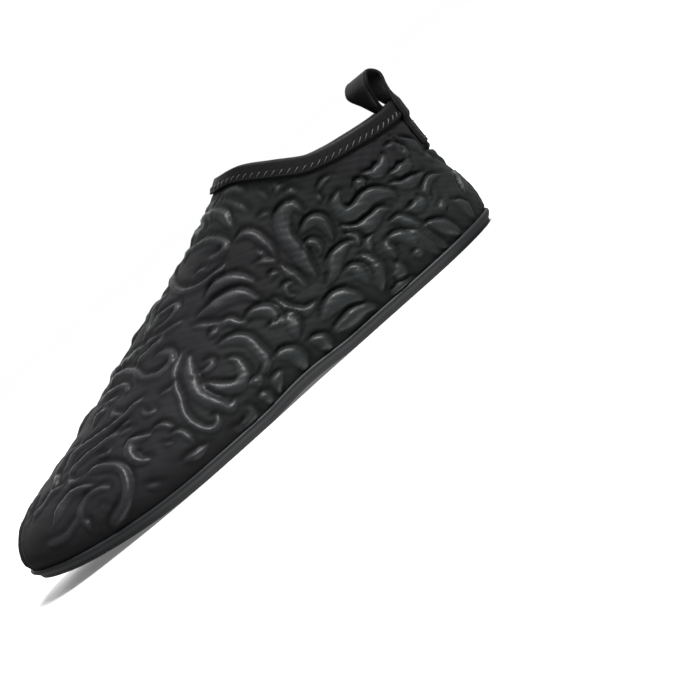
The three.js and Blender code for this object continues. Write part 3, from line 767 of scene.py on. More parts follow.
# %% The strokes: name, width in millimetres, places in the view
strokes = [
    ("throat arch", 2.5, [(189, 236), (203, 226), (217, 225), (230, 229), (241, 235)]),
    ("throat crescent", 4.5, [(189, 245), (197, 237), (207, 234), (215, 237), (219, 244), (225, 248)]),
    ("small leaf by the collar", 2.0, [(245, 213), (254, 219), (261, 224)]),
    ("small tip by the collar", 2.0, [(249, 242), (255, 239), (263, 236)]),
    ("collar dash", 2.5, [(274, 217), (281, 216), (290, 216)]),
    ("big hooked leaf", 6.0, [(293, 233), (282, 228), (274, 236), (273, 247), (278, 260), (289, 273),
                              (299, 287), (310, 299)]),
    ("leaf beside the hook", 5.0, [(293, 255), (301, 245), (310, 244), (318, 252), (325, 263)]),
    ("inner hook", 3.0, [(298, 276), (301, 268), (307, 267), (313, 272), (314, 280)]),
    ("quarter leaf", 5.0, [(343, 265), (334, 273), (328, 284), (327, 296), (322, 307)]),
    ("collar wave", 6.0, [(328, 215), (326, 226), (332, 236), (340, 238), (350, 231), (356, 222),
                          (367, 218), (378, 218), (385, 222)]),
    ("scroll top", 3.0, [(177, 281), (181, 272), (194, 263), (207, 261), (218, 265), (217, 273),
                         (207, 279), (199, 277)]),
    ("scroll bottom", 3.0, [(173, 280), (169, 291), (170, 300), (179, 308), (193, 307), (207, 299),
                            (217, 289), (219, 284)]),
    ("scroll heart", 2.5, [(189, 295), (203, 289)]),
    ("instep arch", 3.5, [(227, 263), (235, 257), (245, 257), (254, 263), (263, 271), (270, 281)]),
    ("arch barb above", 2.5, [(249, 272), (257, 279), (265, 281)]),
    ("arch barb below", 2.5, [(249, 287), (259, 285), (273, 285)]),
    ("arch tail", 4.0, [(274, 287), (283, 296), (294, 304), (303, 309)]),
    ("small spiral", 2.5, [(293, 319), (285, 319), (281, 312), (285, 308), (291, 309)]),
    ("spiral stem", 2.5, [(267, 304), (267, 299), (275, 296)]),
    ("smile leaf", 5.0, [(269, 320), (278, 328), (290, 335), (303, 333), (311, 325)]),
    ("upper flame", 5.0, [(201, 317), (209, 308), (222, 301), (235, 300), (250, 303)]),
    ("lower flame", 5.5, [(196, 332), (209, 327), (222, 319), (237, 315), (255, 320)]),
    ("ripple", 3.0, [(193, 342), (207, 344), (219, 345), (227, 342), (235, 345), (246, 345)]),
    ("ripple barb", 3.0, [(219, 347), (210, 356)]),
    ("hump", 5.5, [(242, 340), (251, 333), (263, 332), (271, 337), (274, 344), (266, 348)]),
    ("hump tail", 6.0, [(274, 344), (285, 341), (291, 349), (294, 359)]),
    ("big leaf", 8.0, [(318, 340), (326, 327), (339, 319), (357, 320)]),
    ("leaf foot", 6.0, [(307, 363), (317, 363), (325, 369), (326, 377)]),
    ("rose outside", 4.5, [(219, 362), (233, 359), (246, 361), (257, 371), (265, 380), (266, 388),
                           (262, 395)]),
    ("rose inside", 5.0, [(229, 376), (237, 379), (243, 387), (246, 395), (242, 403), (233, 405),
                          (219, 403), (206, 399), (198, 393)]),
    ("rose stem", 5.5, [(193, 367), (193, 377), (197, 392), (203, 405), (214, 415), (225, 421),
                        (235, 424), (239, 416)]),
    ("rose hook", 3.0, [(201, 388), (209, 387), (215, 383), (215, 378), (207, 377)]),
    ("rose rim", 2.8, [(187, 364), (183, 375), (181, 385), (182, 396), (187, 409), (191, 423),
                       (199, 435), (210, 443), (219, 444), (223, 439), (222, 432), (218, 431)]),
    ("vamp hook", 2.5, [(151, 409), (155, 417), (162, 416), (163, 411)]),
    ("vamp tip", 2.5, [(167, 400), (177, 399), (182, 393)]),
    ("vamp scroll", 3.0, [(150, 380), (161, 381), (171, 377), (178, 371), (177, 363), (170, 360),
                          (162, 364)]),
    ("low dash", 4.0, [(253, 404), (265, 400)]),
    ("puffed hook", 7.0, [(273, 379), (282, 375), (293, 377), (302, 385), (303, 396)]),
    ("puffed hook inside", 4.0, [(283, 393), (278, 401), (279, 411), (286, 416)]),
    ("low crescent", 4.0, [(261, 419), (267, 417), (274, 423), (275, 428)]),
    ("low hook", 5.0, [(235, 445), (246, 447), (255, 440), (255, 431), (251, 424)]),
    ("side dash", 3.0, [(158, 433), (169, 431), (177, 433), (182, 436)]),
    ("side thorn", 2.0, [(169, 448), (174, 451), (182, 451)]),
    ("side stem", 2.5, [(177, 441), (186, 441), (194, 447), (202, 456)]),
    ("toe curl", 4.0, [(95, 453), (112, 454), (125, 459), (131, 469), (131, 484), (126, 496), (116, 506),
                       (106, 513)]),
    ("toe arch", 4.0, [(51, 494), (59, 484), (68, 475), (79, 469), (100, 467)]),
    ("toe wave", 2.8, [(40, 508), (51, 510), (63, 508), (73, 500), (81, 494), (84, 486), (92, 478),
                       (103, 475), (113, 475), (114, 480)]),
    ("toe wave branch", 2.8, [(81, 497), (87, 503), (88, 512)]),
    ("toe dash", 2.0, [(101, 493), (110, 492)]),
    ("ball hook", 5.0, [(158, 434), (141, 439), (137, 446), (141, 455), (148, 459), (156, 458)]),
    ("long stem above", 3.0, [(72, 446), (88, 431), (106, 424), (126, 417), (141, 408), (153, 399)]),
    ("long stem below", 3.0, [(78, 456), (82, 447), (94, 440), (112, 433), (129, 425), (141, 417)]),
    ("stem hook", 3.0, [(76, 452), (81, 459), (88, 456)]),
    ("toe smile", 2.5, [(106, 442), (117, 444), (122, 437)]),
    ("toe stroke", 2.5, [(126, 427), (135, 428), (144, 425)]),
    ("ridge barb", 3.0, [(123, 402), (126, 410), (136, 410)]),
    ("ridge dash", 3.0, [(103, 414), (109, 405), (120, 399)]),
    ("ridge hook", 3.0, [(109, 393), (120, 386), (132, 383), (138, 387), (134, 390)]),
    ("vamp wave", 3.0, [(120, 378), (132, 370), (144, 373), (148, 378), (156, 382), (167, 381),
                        (176, 373), (176, 364), (166, 362), (160, 365)]),
    ("vamp stem", 3.0, [(144, 368), (156, 358), (163, 352), (170, 346)]),
    ("leaf loop", 2.5, [(157, 341), (163, 327), (177, 320), (178, 325), (170, 335), (157, 341)]),
    ("first petal", 2.5, [(150, 347), (154, 336), (157, 322), (163, 312)]),
    ("second petal", 2.5, [(150, 349), (163, 346), (176, 341), (187, 335)]),
    ("toe edge above", 3.0, [(26, 477), (37, 464), (44, 456)]),
    ("toe edge below", 3.0, [(31, 481), (44, 471), (56, 461), (65, 450), (63, 444)]),
    ("faint dash", 2.5, [(147, 486), (157, 488), (166, 486)]),
    ("heel wave", 6.0, [(333, 249), (346, 253), (357, 250), (364, 243), (370, 235), (378, 233)]),
    ("collar curl", 5.0, [(351, 198), (363, 198), (370, 190), (370, 179)]),
    ("collar comma", 4.0, [(372, 172), (382, 172), (392, 180), (395, 189)]),
    ("heel bow above", 5.0, [(378, 198), (386, 197), (393, 191), (395, 184)]),
    ("heel bow below", 5.0, [(379, 208), (392, 210), (403, 205), (410, 198)]),
    ("heel drop", 3.0, [(426, 201), (416, 207), (414, 218), (420, 226)]),
    ("heel hook", 5.0, [(396, 235), (405, 233), (410, 226), (407, 221)]),
    ("heel tip", 3.0, [(430, 226), (431, 235), (435, 240)]),
    ("heel river", 6.0, [(412, 252), (423, 250), (435, 253), (451, 260)]),
    ("heel river above", 7.0, [(381, 245), (389, 243), (399, 249), (409, 259), (423, 267), (440, 273)]),
    ("heel river below", 7.0, [(378, 263), (386, 260), (396, 261), (412, 267), (431, 277)]),
    ("heel fork", 4.0, [(377, 266), (381, 275), (389, 282)]),
    ("heel fork end", 4.0, [(405, 281), (410, 277), (409, 270)]),
    ("quarter drop", 3.0, [(364, 260), (360, 268), (363, 277), (367, 280)]),
    ("quarter sweep", 7.0, [(353, 277), (363, 287), (370, 298), (375, 313)]),
    ("quarter bud", 5.0, [(389, 287), (392, 296), (391, 306)]),
    ("quarter wing", 6.0, [(339, 294), (347, 292), (356, 299), (363, 306)]),
    ("collar thorn", 2.0, [(308, 217), (314, 207), (322, 201)]),
    ("knob beside the wave", 3.5, [(344, 214), (350, 208), (354, 212)]),
    ("heel fleck by the tape", 3.0, [(376, 164), (381, 171), (387, 178)]),
    ("heel fleck beside it", 3.0, [(408, 178), (413, 184), (418, 190)]),
    ("heel back streak", 4.0, [(436, 196), (446, 208), (452, 222)]),
    ("heel back band", 5.0, [(440, 226), (450, 232), (460, 244)]),
    ("low quarter leaf", 6.0, [(330, 354), (343, 344), (357, 333), (370, 329)]),
    ("heel foot", 5.0, [(384, 318), (395, 312), (405, 302)]),
    ("heel streak low", 4.0, [(386, 163), (398, 171), (408, 180)]),
    ("heel streak middle", 4.0, [(396, 158), (410, 168), (424, 180)]),
    ("heel streak top", 4.5, [(410, 176), (421, 181), (434, 184)]),
    ("quarter comma", 4.0, [(338, 258), (346, 262), (352, 270)]),
    ("collar puff", 3.5, [(210, 215), (222, 211), (236, 213)]),
    ("collar star", 2.5, [(262, 206), (268, 212), (266, 219)]),
    ("collar star side", 2.5, [(268, 212), (276, 207)]),
    ("thorn foot", 2.5, [(308, 219), (312, 227)]),
    ("ridge rope first", 3.0, [(84, 414), (96, 402), (106, 390)]),
    ("ridge rope second", 2.5, [(112, 402), (120, 395), (130, 392)]),
    ("ridge rope third", 3.0, [(60, 448), (74, 436), (90, 424)]),
    ("toe top swirl", 3.0, [(44, 470), (57, 462), (72, 457)]),
    ("side streak", 3.0, [(186, 470), (201, 466), (214, 458)]),
    ("fan first", 2.5, [(140, 337), (144, 326), (150, 316)]),
    ("fan second", 2.5, [(134, 347), (140, 338), (146, 328)]),
    ("fan third", 2.5, [(151, 330), (157, 317), (167, 307)]),
    ("vamp streak above", 3.0, [(128, 362), (140, 356), (152, 350)]),
    ("vamp streak below", 3.0, [(118, 374), (131, 363), (145, 357)]),
    ("vamp leaf", 3.5, [(174, 262), (183, 253), (196, 249)]),
    ("vamp rope", 3.0, [(160, 300), (165, 288), (172, 276)]),
]
print("charted strokes:", len(strokes))

# %% [markdown]
# A surface that swells
#
# Each stroke becomes a leaf with two unlike sides. Its upper side is a steep rim with a narrow groove
# pressed in just above it, and from that rim the body falls away softly on the lower side. The height
# follows from the width, as with any puffed print: a wide leaf stands higher than a thin stem, and both
# fade out at their tips. For every point of the grid the nearest stroke decides, and the distance to the
# next one keeps a valley between two neighbours. The same strokes lie mirrored on the inner side, moved a
# little along the shoe as two cut pieces are.

# %% The grid, and the numbers that shape a stroke
upper_columns = 600
upper_rows = 152
inner_skip = 4
even_at = 0.35
row_crowding = 0.9
# The direction in which a stroke's body falls away, and the lengths in millimetres
shade_side = np.array([-0.66, 0.0, -0.75])
stroke_reach = 7.0
narrowest = 0.2
groove_width = 0.8
groove_beyond_rim = 0.35
quilt_height = 0.3
quilt_start = 0.3
quilt_reach = 3.6
tallest_stroke = 2.1
thin_height = 0.25
height_of_width = 0.32
# How a stroke narrows and sinks towards its tips, as shares of its width and of its whole length
tip_share = 0.22
taper_widths = 1.3
taper_most = 0.45
tip_fullness = 0.7
# The groove's depth grows with the stroke's height, and it lies only on the upper side
groove_least = 0.30
groove_of_height = 0.62
upper_side_edge = 0.2
upper_side_fade = 0.8
# How far the mirrored strokes are moved, as shares of a turn
mirror_slide = 0.012
turn_at_ridge = 0.47
turn_past_heel = 0.025
path_part = 40
turn_line = even_turns(upper_columns, even_at)
rise_line = np.linspace(0, 1, upper_rows) ** row_crowding
turn_grid, rise_grid = np.meshgrid(turn_line, rise_line)
outer = upper_point(turn_grid, rise_grid)


def grid_normals(points):
    upward = np.gradient(points, axis=0)
    along = np.roll(points, -1, axis=1) - np.roll(points, 1, axis=1)
    normal = np.cross(upward, along)
    return normal / np.linalg.norm(normal, axis=-1, keepdims=True)


normals = grid_normals(outer)
downward = shade_side - (normals @ shade_side)[..., None] * normals
downward /= np.maximum(np.linalg.norm(downward, axis=-1, keepdims=True), 0.2)
# Gaps to the nearest stroke and to the next one, and what the nearest stroke says at each point
first_gap = np.full(outer.shape[:2], stroke_reach)
second_gap = np.full(outer.shape[:2], stroke_reach)
half_there = np.ones(outer.shape[:2])
peak_there = np.zeros(outer.shape[:2])
side_there = np.zeros(outer.shape[:2])
groove = np.zeros(outer.shape[:2])


def soften(grid):
    across = (np.roll(grid, 1, 1) + 2 * grid + np.roll(grid, -1, 1)) / 4
    padded = np.concatenate([across[:1], across, across[-1:]])
    return (padded[:-2] + 2 * padded[1:-1] + padded[2:]) / 4


# %% Pressing one stroke into the grid
def press_stroke(path, breadth, strength):
    gone = running_length(path)
    whole = gone[-1]
    taper = min(taper_widths * breadth, taper_most * whole)
    to_end = np.minimum(gone, whole - gone)
    fullness = np.clip(to_end / taper, 0, 1) ** tip_fullness
    half = breadth / 2 * (tip_share + (1 - tip_share) * fullness)
    margin = breadth / 2 + stroke_reach
    low = path.min(0) - margin
    high = path.max(0) + margin
    close = np.all((outer > low) & (outer < high), axis=-1)
    if not close.any():
        return
    places = outer[close]
    nearest = np.full(len(places), np.inf)
    below = np.zeros(len(places))
    width_there = np.zeros(len(places))
    # The path goes in parts, so that the table of distances stays small
    for start in range(0, len(path), path_part):
        part = path[start:start + path_part]
        away = np.linalg.norm(places[:, None] - part[None], axis=-1)
        best = away.argmin(1)
        distance = away[np.arange(len(places)), best]
        closer = distance < nearest
        nearest[closer] = distance[closer]
        width_there[closer] = half[start:start + path_part][best[closer]]
        step_down = ((places - part[best]) * downward[close]).sum(-1)
        below[closer] = (step_down / np.maximum(distance, 0.05))[closer]
    full_height = min(tallest_stroke, thin_height + height_of_width * breadth)
    peak = strength * full_height * (width_there / (breadth / 2)) ** tip_fullness
    gap_here = nearest - width_there
    above = smooth((upper_side_edge - below) / upper_side_fade)
    depth = (groove_least + groove_of_height * peak) * above
    cut = depth * np.exp(-((gap_here - groove_beyond_rim) / groove_width) ** 2)
    groove[close] = np.maximum(groove[close], cut)
    flat_index = np.flatnonzero(close.ravel())
    wins = gap_here < first_gap.ravel()[flat_index]
    winners = flat_index[wins]
    second_gap.ravel()[winners] = first_gap.ravel()[winners]
    first_gap.ravel()[winners] = gap_here[wins]
    half_here = np.maximum(width_there, narrowest)
    side_here = below * np.minimum(nearest / half_here, 1)
    half_there.ravel()[winners] = half_here[wins]
    peak_there.ravel()[winners] = peak[wins]
    side_there.ravel()[winners] = side_here[wins]
    losers = flat_index[~wins]
    second_gap.ravel()[losers] = np.minimum(second_gap.ravel()[losers], gap_here[~wins])


# %% Every stroke, and its mirrored copy
# The charted path is the lit rim, so the stroke's middle lies this way from it in the view
lit_edge = np.array([0.42, 0.91])
rim_share = 0.62
rim_half_width = 1.1
path_spacing = 1.2
# Charted widths and how much wider the leaf is than its lit rim
rim_widths = [2, 3, 4, 6, 8]
leaf_per_rim = [1.3, 1.4, 1.4, 1.3, 1.2]
# The forefoot starts left of this place in the view, where the strokes are finer and stand higher
forefoot_place = 225
forefoot_fade = 50
forefoot_thinner = 0.1
forefoot_higher = 0.4
for name, rim_width, places in strokes:
    forefoot = min(max((forefoot_place - np.mean(places, axis=0)[0]) / forefoot_fade, 0), 1)
    breadth = rim_width * np.interp(rim_width, rim_widths, leaf_per_rim) * (1 - forefoot_thinner * forefoot)
    strength = 1 + forefoot_higher * forefoot
    half_shift = max(breadth / 2 - rim_half_width, 0) * view_scale * rim_share
    found = on_surface(smooth_path(np.array(places) + lit_edge * half_shift, path_spacing))
    press_stroke(upper_point(found[:, 0], found[:, 1]), breadth, strength)
    if found[:, 0].min() > turn_past_heel:
        past_ridge = max(found[:, 0].max() - turn_at_ridge, 0)
        other = 1 - found[:, 0] + mirror_slide + past_ridge
        press_stroke(upper_point(other, found[:, 1]), breadth, strength)

# %% From distances to heights: a round steep profile on the upper side, a soft one on the lower side
shared_edge = 0.12
lower_start = -0.10
level_height = 0.72
tilt_share = 0.28
darkest_groove = 0.5
depth_inside = np.minimum(-first_gap, (second_gap - first_gap) / 2 + shared_edge)
share_inside = np.clip(depth_inside / half_there, 0, 1)
steep = np.maximum(1 - (1 - share_inside) ** 2, 0) ** 0.5
lower = smooth(side_there - lower_start)
tilt = level_height - tilt_share * side_there
relief = soften(peak_there * tilt * (steep * (1 - lower) + smooth(share_inside) * lower))
groove = soften(groove)
# valley is the groove's depth as a share of darkest_groove; the fabric paints shade into the grooves with
# it
valley = np.clip(groove / darkest_groove, 0, 1)
quilt = quilt_height * smooth((np.maximum(first_gap, 0) - quilt_start) / quilt_reach)
print("highest relief:", round(float(relief.max()), 2), "mm")

# %% [markdown]
# Folds given one by one
#
# Stretch fabric over an empty toe shows a soft upright fold at the front, and shallow ones where the foot
# bends. They are placed in the shoe's own sizes: where each starts and ends along the sole and above the
# floor, how deep it is and how wide.

# %% Creases: turn and rise of start and end, depth and width in millimetres
creases = [
    ("fold on the toe's front", (0.468, 0.00), (0.480, 0.22), 1.5, 2.4),
    ("dent beside the toe", (0.540, 0.02), (0.528, 0.13), 0.6, 3.2),
    ("flex line over the ball", (0.335, 0.10), (0.350, 0.42), 0.5, 4.5),
    ("flex line on the inner side", (0.660, 0.10), (0.648, 0.42), 0.5, 4.5),
    ("hollow under the ankle", (0.165, 0.35), (0.195, 0.80), 0.8, 9.0),
    ("hollow on the inner side", (0.835, 0.35), (0.805, 0.80), 0.8, 9.0),
    ("heel tuck", (0.040, 0.28), (0.105, 0.36), 0.5, 4.0),
]
crease_places = 60
folding = np.zeros(outer.shape[:2])
for name, start, end, depth, breadth in creases:
    share = np.linspace(0, 1, crease_places)[:, None]
    line = upper_point(*(np.array(start) * (1 - share) + np.array(end) * share).T)
    away = np.full(outer.shape[:2], np.inf)
    strength = np.zeros(outer.shape[:2])
    for k, place in enumerate(line):
        distance = np.linalg.norm(outer - place, axis=-1)
        closer = distance < away
        away[closer] = distance[closer]
        strength[closer] = math.sin(math.pi * (0.08 + 0.84 * k / (crease_places - 1)))
    dent = np.exp(-(away / breadth) ** 2)
    swell = 0.35 * np.exp(-((away - 1.6 * breadth) / breadth) ** 2)
    folding += depth * strength * (dent - swell)
print("deepest fold:", round(float(folding.max()), 2), "mm")

# %% Small uneven waves of the cloth: pitch in millimetres, lean, phase, height in millimetres
cloth_waves = [
    (13.0, 0.5, 0.3, 0.09),
    (8.3, -0.9, 1.9, 0.07),
    (5.9, 1.6, 4.0, 0.05),
    (19.0, -0.3, 2.2, 0.14),
]
pucker = np.zeros(outer.shape[:2])
for pitch, lean, phase, wave_height in cloth_waves:
    where = outer[..., 0] + lean * outer[..., 2] + 0.6 * outer[..., 1]
    wander = 1.3 * np.sin(outer[..., 2] / pitch * 2.1 + phase)
    pucker += wave_height * np.sin(2 * np.pi * where / pitch + phase + wander)

# %% The upper's mesh
# The relief starts below the tape and above the sole's edge, so both seats stay plain
inner_rows = 36
lining_map_height = 80
foot_depth = gap + 0.25
below_tape = 0.6
below_tape_fade = 2.2
above_sole = -0.4
above_sole_fade = 1.6
fold_fade = 10
map_row = 50
# Painted shade on the foot row that tucks down to the sole's seat
foot_painted_shade = 0.5
steps_down = np.linalg.norm(np.diff(outer[::-1], axis=0), axis=-1)
drop_grid = np.concatenate([np.cumsum(steps_down, axis=0)[::-1], np.zeros((1, upper_columns))])
climb_grid = drop_grid[:1] - drop_grid
free_of_tape = smooth((drop_grid - binding_leg - below_tape) / below_tape_fade)
free_of_sole = smooth((climb_grid - above_sole) / above_sole_fade)
free = free_of_tape * free_of_sole
around = running_length(outer[map_row])
folds_fade = smooth(drop_grid / fold_fade - binding_height / fold_fade)
push = free * (relief + quilt - groove + pucker) - folding * folds_fade
outside = outer + normals * push[..., None]
foot = outside[:1].copy()
foot[..., 2] -= foot_depth
outside = np.concatenate([foot, outside])
# The fabric paints the crowns paler with relief, partly a painted highlight, and paints shade with valley:
# in the grooves and on the foot row
relief_rows = np.concatenate([relief[:1] * 0, relief * free])
valley_rows = np.concatenate([np.full((1, upper_columns), foot_painted_shade), valley * free])
inner_columns = upper_columns // inner_skip
inner_rises = np.linspace(0, 1, inner_rows)
inner_turns = turn_line[::inner_skip]
inside = beside(inner_turns[None, :], inner_rises[:, None], -wall)
outer_rows = upper_rows + 1
first_inner = outer_rows * upper_columns
faces = grid_faces(outer_rows, upper_columns, True)
faces += grid_faces(inner_rows, inner_columns, True, first_inner, flip=True)
top_outer = (outer_rows - 1) * upper_columns
top_inner = first_inner + (inner_rows - 1) * inner_columns
for column in range(inner_columns):
    ahead = (column + 1) % inner_columns
    edge = [(column * inner_skip + k) % upper_columns for k in range(inner_skip + 1)]
    faces.append([top_outer + k for k in edge] + [top_inner + ahead, top_inner + column])
    faces.append([k for k in reversed(edge)] + [first_inner + column, first_inner + ahead])
points = np.concatenate([outside.reshape(-1, 3), inside.reshape(-1, 3)])
slots = np.zeros(len(faces), int)
slots[top_outer:top_outer + (inner_rows - 1) * inner_columns] = 1
upper = make_piece("upper_shell", points, faces, [fabric, lining], slots)
plain_inside = np.zeros(inner_rows * inner_columns)
add_numbers(upper, "relief", np.concatenate([relief_rows.ravel(), plain_inside]))
add_numbers(upper, "valley", np.concatenate([valley_rows.ravel(), plain_inside]))
cloth_across = np.concatenate([np.tile(around, outer_rows), np.tile(around[::inner_skip], inner_rows)])
outside_up = np.concatenate([climb_grid[:1], climb_grid]).ravel()
inside_up = np.repeat(inner_rises * lining_map_height, inner_columns)
add_map(upper, cloth_across, np.concatenate([outside_up, inside_up]))
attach(upper, "root")
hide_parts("upper")

# %% [markdown]
# The moulded sole
#
# The sole is one casting, so its lugs are drawn here as one surface with a height, like the cavity of the
# mould. Each feature is a distance to its own outline: below zero inside, above zero outside. Joined with
# least and most, these distances give one number that says how far a point is from the nearest lug's
# wall, and a soft step turns it into the wall itself with the small draft and rounding that lets a real
# casting leave its mould.

# %% Sizes in millimetres and places of the tread, as shares of the length and of the ball's width
tread_border = 5.5
rim_step = 0.2
hex_pitch = 9
hex_groove = 2
hex_turn = math.radians(10)
ring_groove = 1.2
finger_width = 5
finger_groove = 1.3
dimple_radius = 1.3
divider_groove = 1.5
wall_slope = 0.75


def on_sole(at, across):
    return np.array([at * length, across * ball_width])


divider_outer = on_sole(0.33, -0.60)
divider_inner = on_sole(0.135, 0.60)
# Columns of the pads: share of the length, place across, radius as a share of the ball's width
ring_pads = [(0.393, -0.235, 0.105), (0.440, 0.095, 0.098), (0.325, 0.155, 0.148), (0.520, -0.070, 0.066),
             (0.600, -0.150, 0.066), (0.880, -0.020, 0.155)]
plain_pads = [(0.680, -0.150, 0.074), (0.765, -0.075, 0.080)]
fingers = [((0.252, -0.375), (0.205, -0.460)), ((0.220, -0.255), (0.120, -0.345)),
           ((0.184, -0.125), (0.060, -0.185)), ((0.152, 0.040), (0.012, 0.050))]
patches = [
    [(0.210, -0.375), (0.190, -0.350), (0.150, -0.385), (0.160, -0.430)],
    [(0.165, -0.270), (0.150, -0.220), (0.085, -0.240), (0.105, -0.310)],
    [(0.120, -0.110), (0.098, -0.020), (0.040, -0.020), (0.048, -0.130)],
    [(0.132, 0.110), (0.030, 0.110), (0.036, 0.220), (0.060, 0.320), (0.108, 0.400)],
]
dimples = [(0.186, -0.222), (0.150, -0.050), (0.150, 0.255), (0.236, -0.330)]
arch_panel = (0.585, 0.300, 0.125, 0.150)
# Beads in the ringed pads and dots in the toe's patches: pitch, radius and height in millimetres
pad_bead_pitch = 2.1
pad_bead_radius = 0.62
pad_bead_height = 0.28
pad_sunk = 0.24
dot_pitch = 2.7
dot_radius = 1.15
dot_height = 0.85
bead_turn = 0.3
# The plain pads are pressed in by this much, and swell back towards their middle over this width
plain_sunk = 0.15
plain_swell = 4
inside_wall = -0.5

# %% The sole's grid and its distance from the edge
sole_rows = 552
sole_columns = 150


def sole_turns(count):
    turns = np.linspace(0, 0.5, 3001)
    line = outline_point(turns, side_bevel)
    line = (line + outline_point(1 - turns, side_bevel) * [1, -1]) / 2
    gone = running_length(line)
    return np.interp(np.linspace(0, gone[-1], count + 1), gone, turns)


row_turns = sole_turns(sole_rows)
outer_edge = outline_point(row_turns, side_bevel)
inner_edge = outline_point(1 - row_turns, side_bevel)
share_line = np.linspace(0, 1, sole_columns + 1)
flat = outer_edge[:, None] + (inner_edge - outer_edge)[:, None] * share_line[None, :, None]
whole_outline = outline_point(np.linspace(0, 1, 1601)[:-1])
inset = np.array([np.linalg.norm(row[:, None] - whole_outline[None], axis=-1).min(1) for row in flat])
print("sole grid:", flat.shape[:2], "widest inset", round(float(inset.max()), 1), "mm")


# %% Distances to the lugs
def to_circle(at, across, radius):
    centre = on_sole(at, across)
    return np.hypot(flat[..., 0] - centre[0], flat[..., 1] - centre[1]) - radius * ball_width


def to_bar(start, end, breadth):
    a = on_sole(*start)
    b = on_sole(*end)
    along = b - a
    t = np.clip(((flat - a) @ along) / (along @ along), 0, 1)
    return np.linalg.norm(flat - a - t[..., None] * along, axis=-1) - breadth / 2


def to_polygon(corners):
    places = [on_sole(*corner) for corner in corners]
    centre = np.mean(places, axis=0)
    distance = np.full(flat.shape[:2], -np.inf)
    for a, b in zip(places, places[1:] + places[:1]):
        normal = np.array([b[1] - a[1], a[0] - b[0]])
        normal = normal / np.linalg.norm(normal)
        if (centre - a) @ normal > 0:
            normal = -normal
        distance = np.maximum(distance, (flat - a) @ normal)
    return distance


def to_hexagons(pitch, groove, turn):
    local = flat - on_sole(0.5, 0)
    x = math.cos(turn) * local[..., 0] + math.sin(turn) * local[..., 1]
    y = -math.sin(turn) * local[..., 0] + math.cos(turn) * local[..., 1]
    row_step = pitch * math.sqrt(3) / 2
    best = np.full(x.shape, np.inf)
    for extra in (0, 1):
        row = np.floor(y / row_step) + extra
        shift = np.mod(row, 2) / 2
        column = np.round(x / pitch - shift)
        dx = x - (column + shift) * pitch
        dy = y - row * row_step
        reach = np.full(x.shape, -np.inf)
        for k in range(3):
            angle = k * math.pi / 3
            reach = np.maximum(reach, np.abs(dx * math.cos(angle) + dy * math.sin(angle)))
        best = np.minimum(best, reach - (pitch - groove) / 2)
    return best


def beads(pitch, radius):
    return np.clip(-to_hexagons(pitch, pitch - 2 * radius, bead_turn) / radius, 0, 1)


# How far a point lies behind the line that parts the toe's panel from the ball, towards the heel
divider = divider_inner - divider_outer
towards_heel = np.array([-divider[1], divider[0]]) / np.linalg.norm(divider)
if (on_sole(1.0, 0) - divider_outer) @ towards_heel < 0:
    towards_heel = -towards_heel
past_divider = (flat - divider_outer) @ towards_heel

# %% The tread as one height
inside_border = tread_border - inset
inside_inner = tread_border - ring_groove - inset
rim = np.maximum(side_bevel + rim_step - inset, -inside_inner)
centre = on_sole(arch_panel[0], arch_panel[1])
oval = np.hypot((flat[..., 0] - centre[0]) / (arch_panel[2] * length),
                (flat[..., 1] - centre[1]) / (arch_panel[3] * ball_width))
to_oval = (oval - 1) * arch_panel[3] * ball_width
field = np.maximum.reduce([to_hexagons(hex_pitch, hex_groove, hex_turn), inside_border,
                           divider_groove - past_divider, hex_groove - to_oval])
covered = [rim, np.maximum(to_oval, inside_border)]
extra = np.zeros(flat.shape[:2])
for at, across, radius in ring_pads + plain_pads:
    circle = to_circle(at, across, radius)
    field = np.maximum(field, ring_groove - circle)
for at, across, radius in ring_pads:
    circle = to_circle(at, across, radius)
    ring = np.maximum(circle, -circle - ring_groove)
    disc = circle + 2 * ring_groove
    covered.append(np.maximum(np.minimum(ring, disc), inside_border))
    pad_beads = pad_bead_height * beads(pad_bead_pitch, pad_bead_radius)
    extra += np.where(disc < inside_wall, pad_beads - pad_sunk, 0)
for at, across, radius in plain_pads:
    circle = to_circle(at, across, radius)
    covered.append(np.maximum(circle, inside_border))
    extra += plain_sunk * np.clip(-circle / plain_swell, 0, 1) - plain_sunk * (circle < 0)
panel = np.maximum(inside_inner, past_divider)
for start, end in fingers:
    panel = np.maximum(panel, -to_bar(start, end, finger_width + 2 * finger_groove))
    panel = np.minimum(panel, np.maximum(to_bar(start, end, finger_width), inside_inner))
    panel = np.maximum(panel, -to_circle(*start, dimple_radius / ball_width))
for dimple in dimples:
    panel = np.maximum(panel, -to_circle(*dimple, dimple_radius / ball_width))
in_patch = np.zeros(flat.shape[:2], bool)
for corners in patches:
    patch = np.maximum(to_polygon(corners), inside_border)
    panel = np.maximum(panel, -patch)
    in_patch |= patch < inside_wall
covered.append(field)
covered.append(panel)
to_lug = np.minimum.reduce(covered)
cover = smooth(0.5 - to_lug / wall_slope)
bumps = np.where(in_patch, dot_height * beads(dot_pitch, dot_radius) ** 0.7, 0)
height = cover * lug_depth + extra * cover + bumps * (1 - cover)
height = np.minimum(height, lug_depth)
print("share of the tread that stands up:", round(float(cover.mean()), 2))

# %% The sole's side and its mesh
# Columns: millimetres in from the outline, millimetres above the lugs' feet on the floor
side_profile = [
    (2.05, 1.63),
    (1.75, 1.80),
    (1.20, 2.25),
    (0.66, 2.86),
    (0.22, 3.36),
    (0.03, 3.76),
    (0.00, 4.10),
    (0.00, 4.42),
    (0.06, 4.72),
    (0.22, 4.98),
    (0.45, 5.14),
    (0.75, 5.20),
    (1.60, 5.20),
    (3.20, 5.20),
]
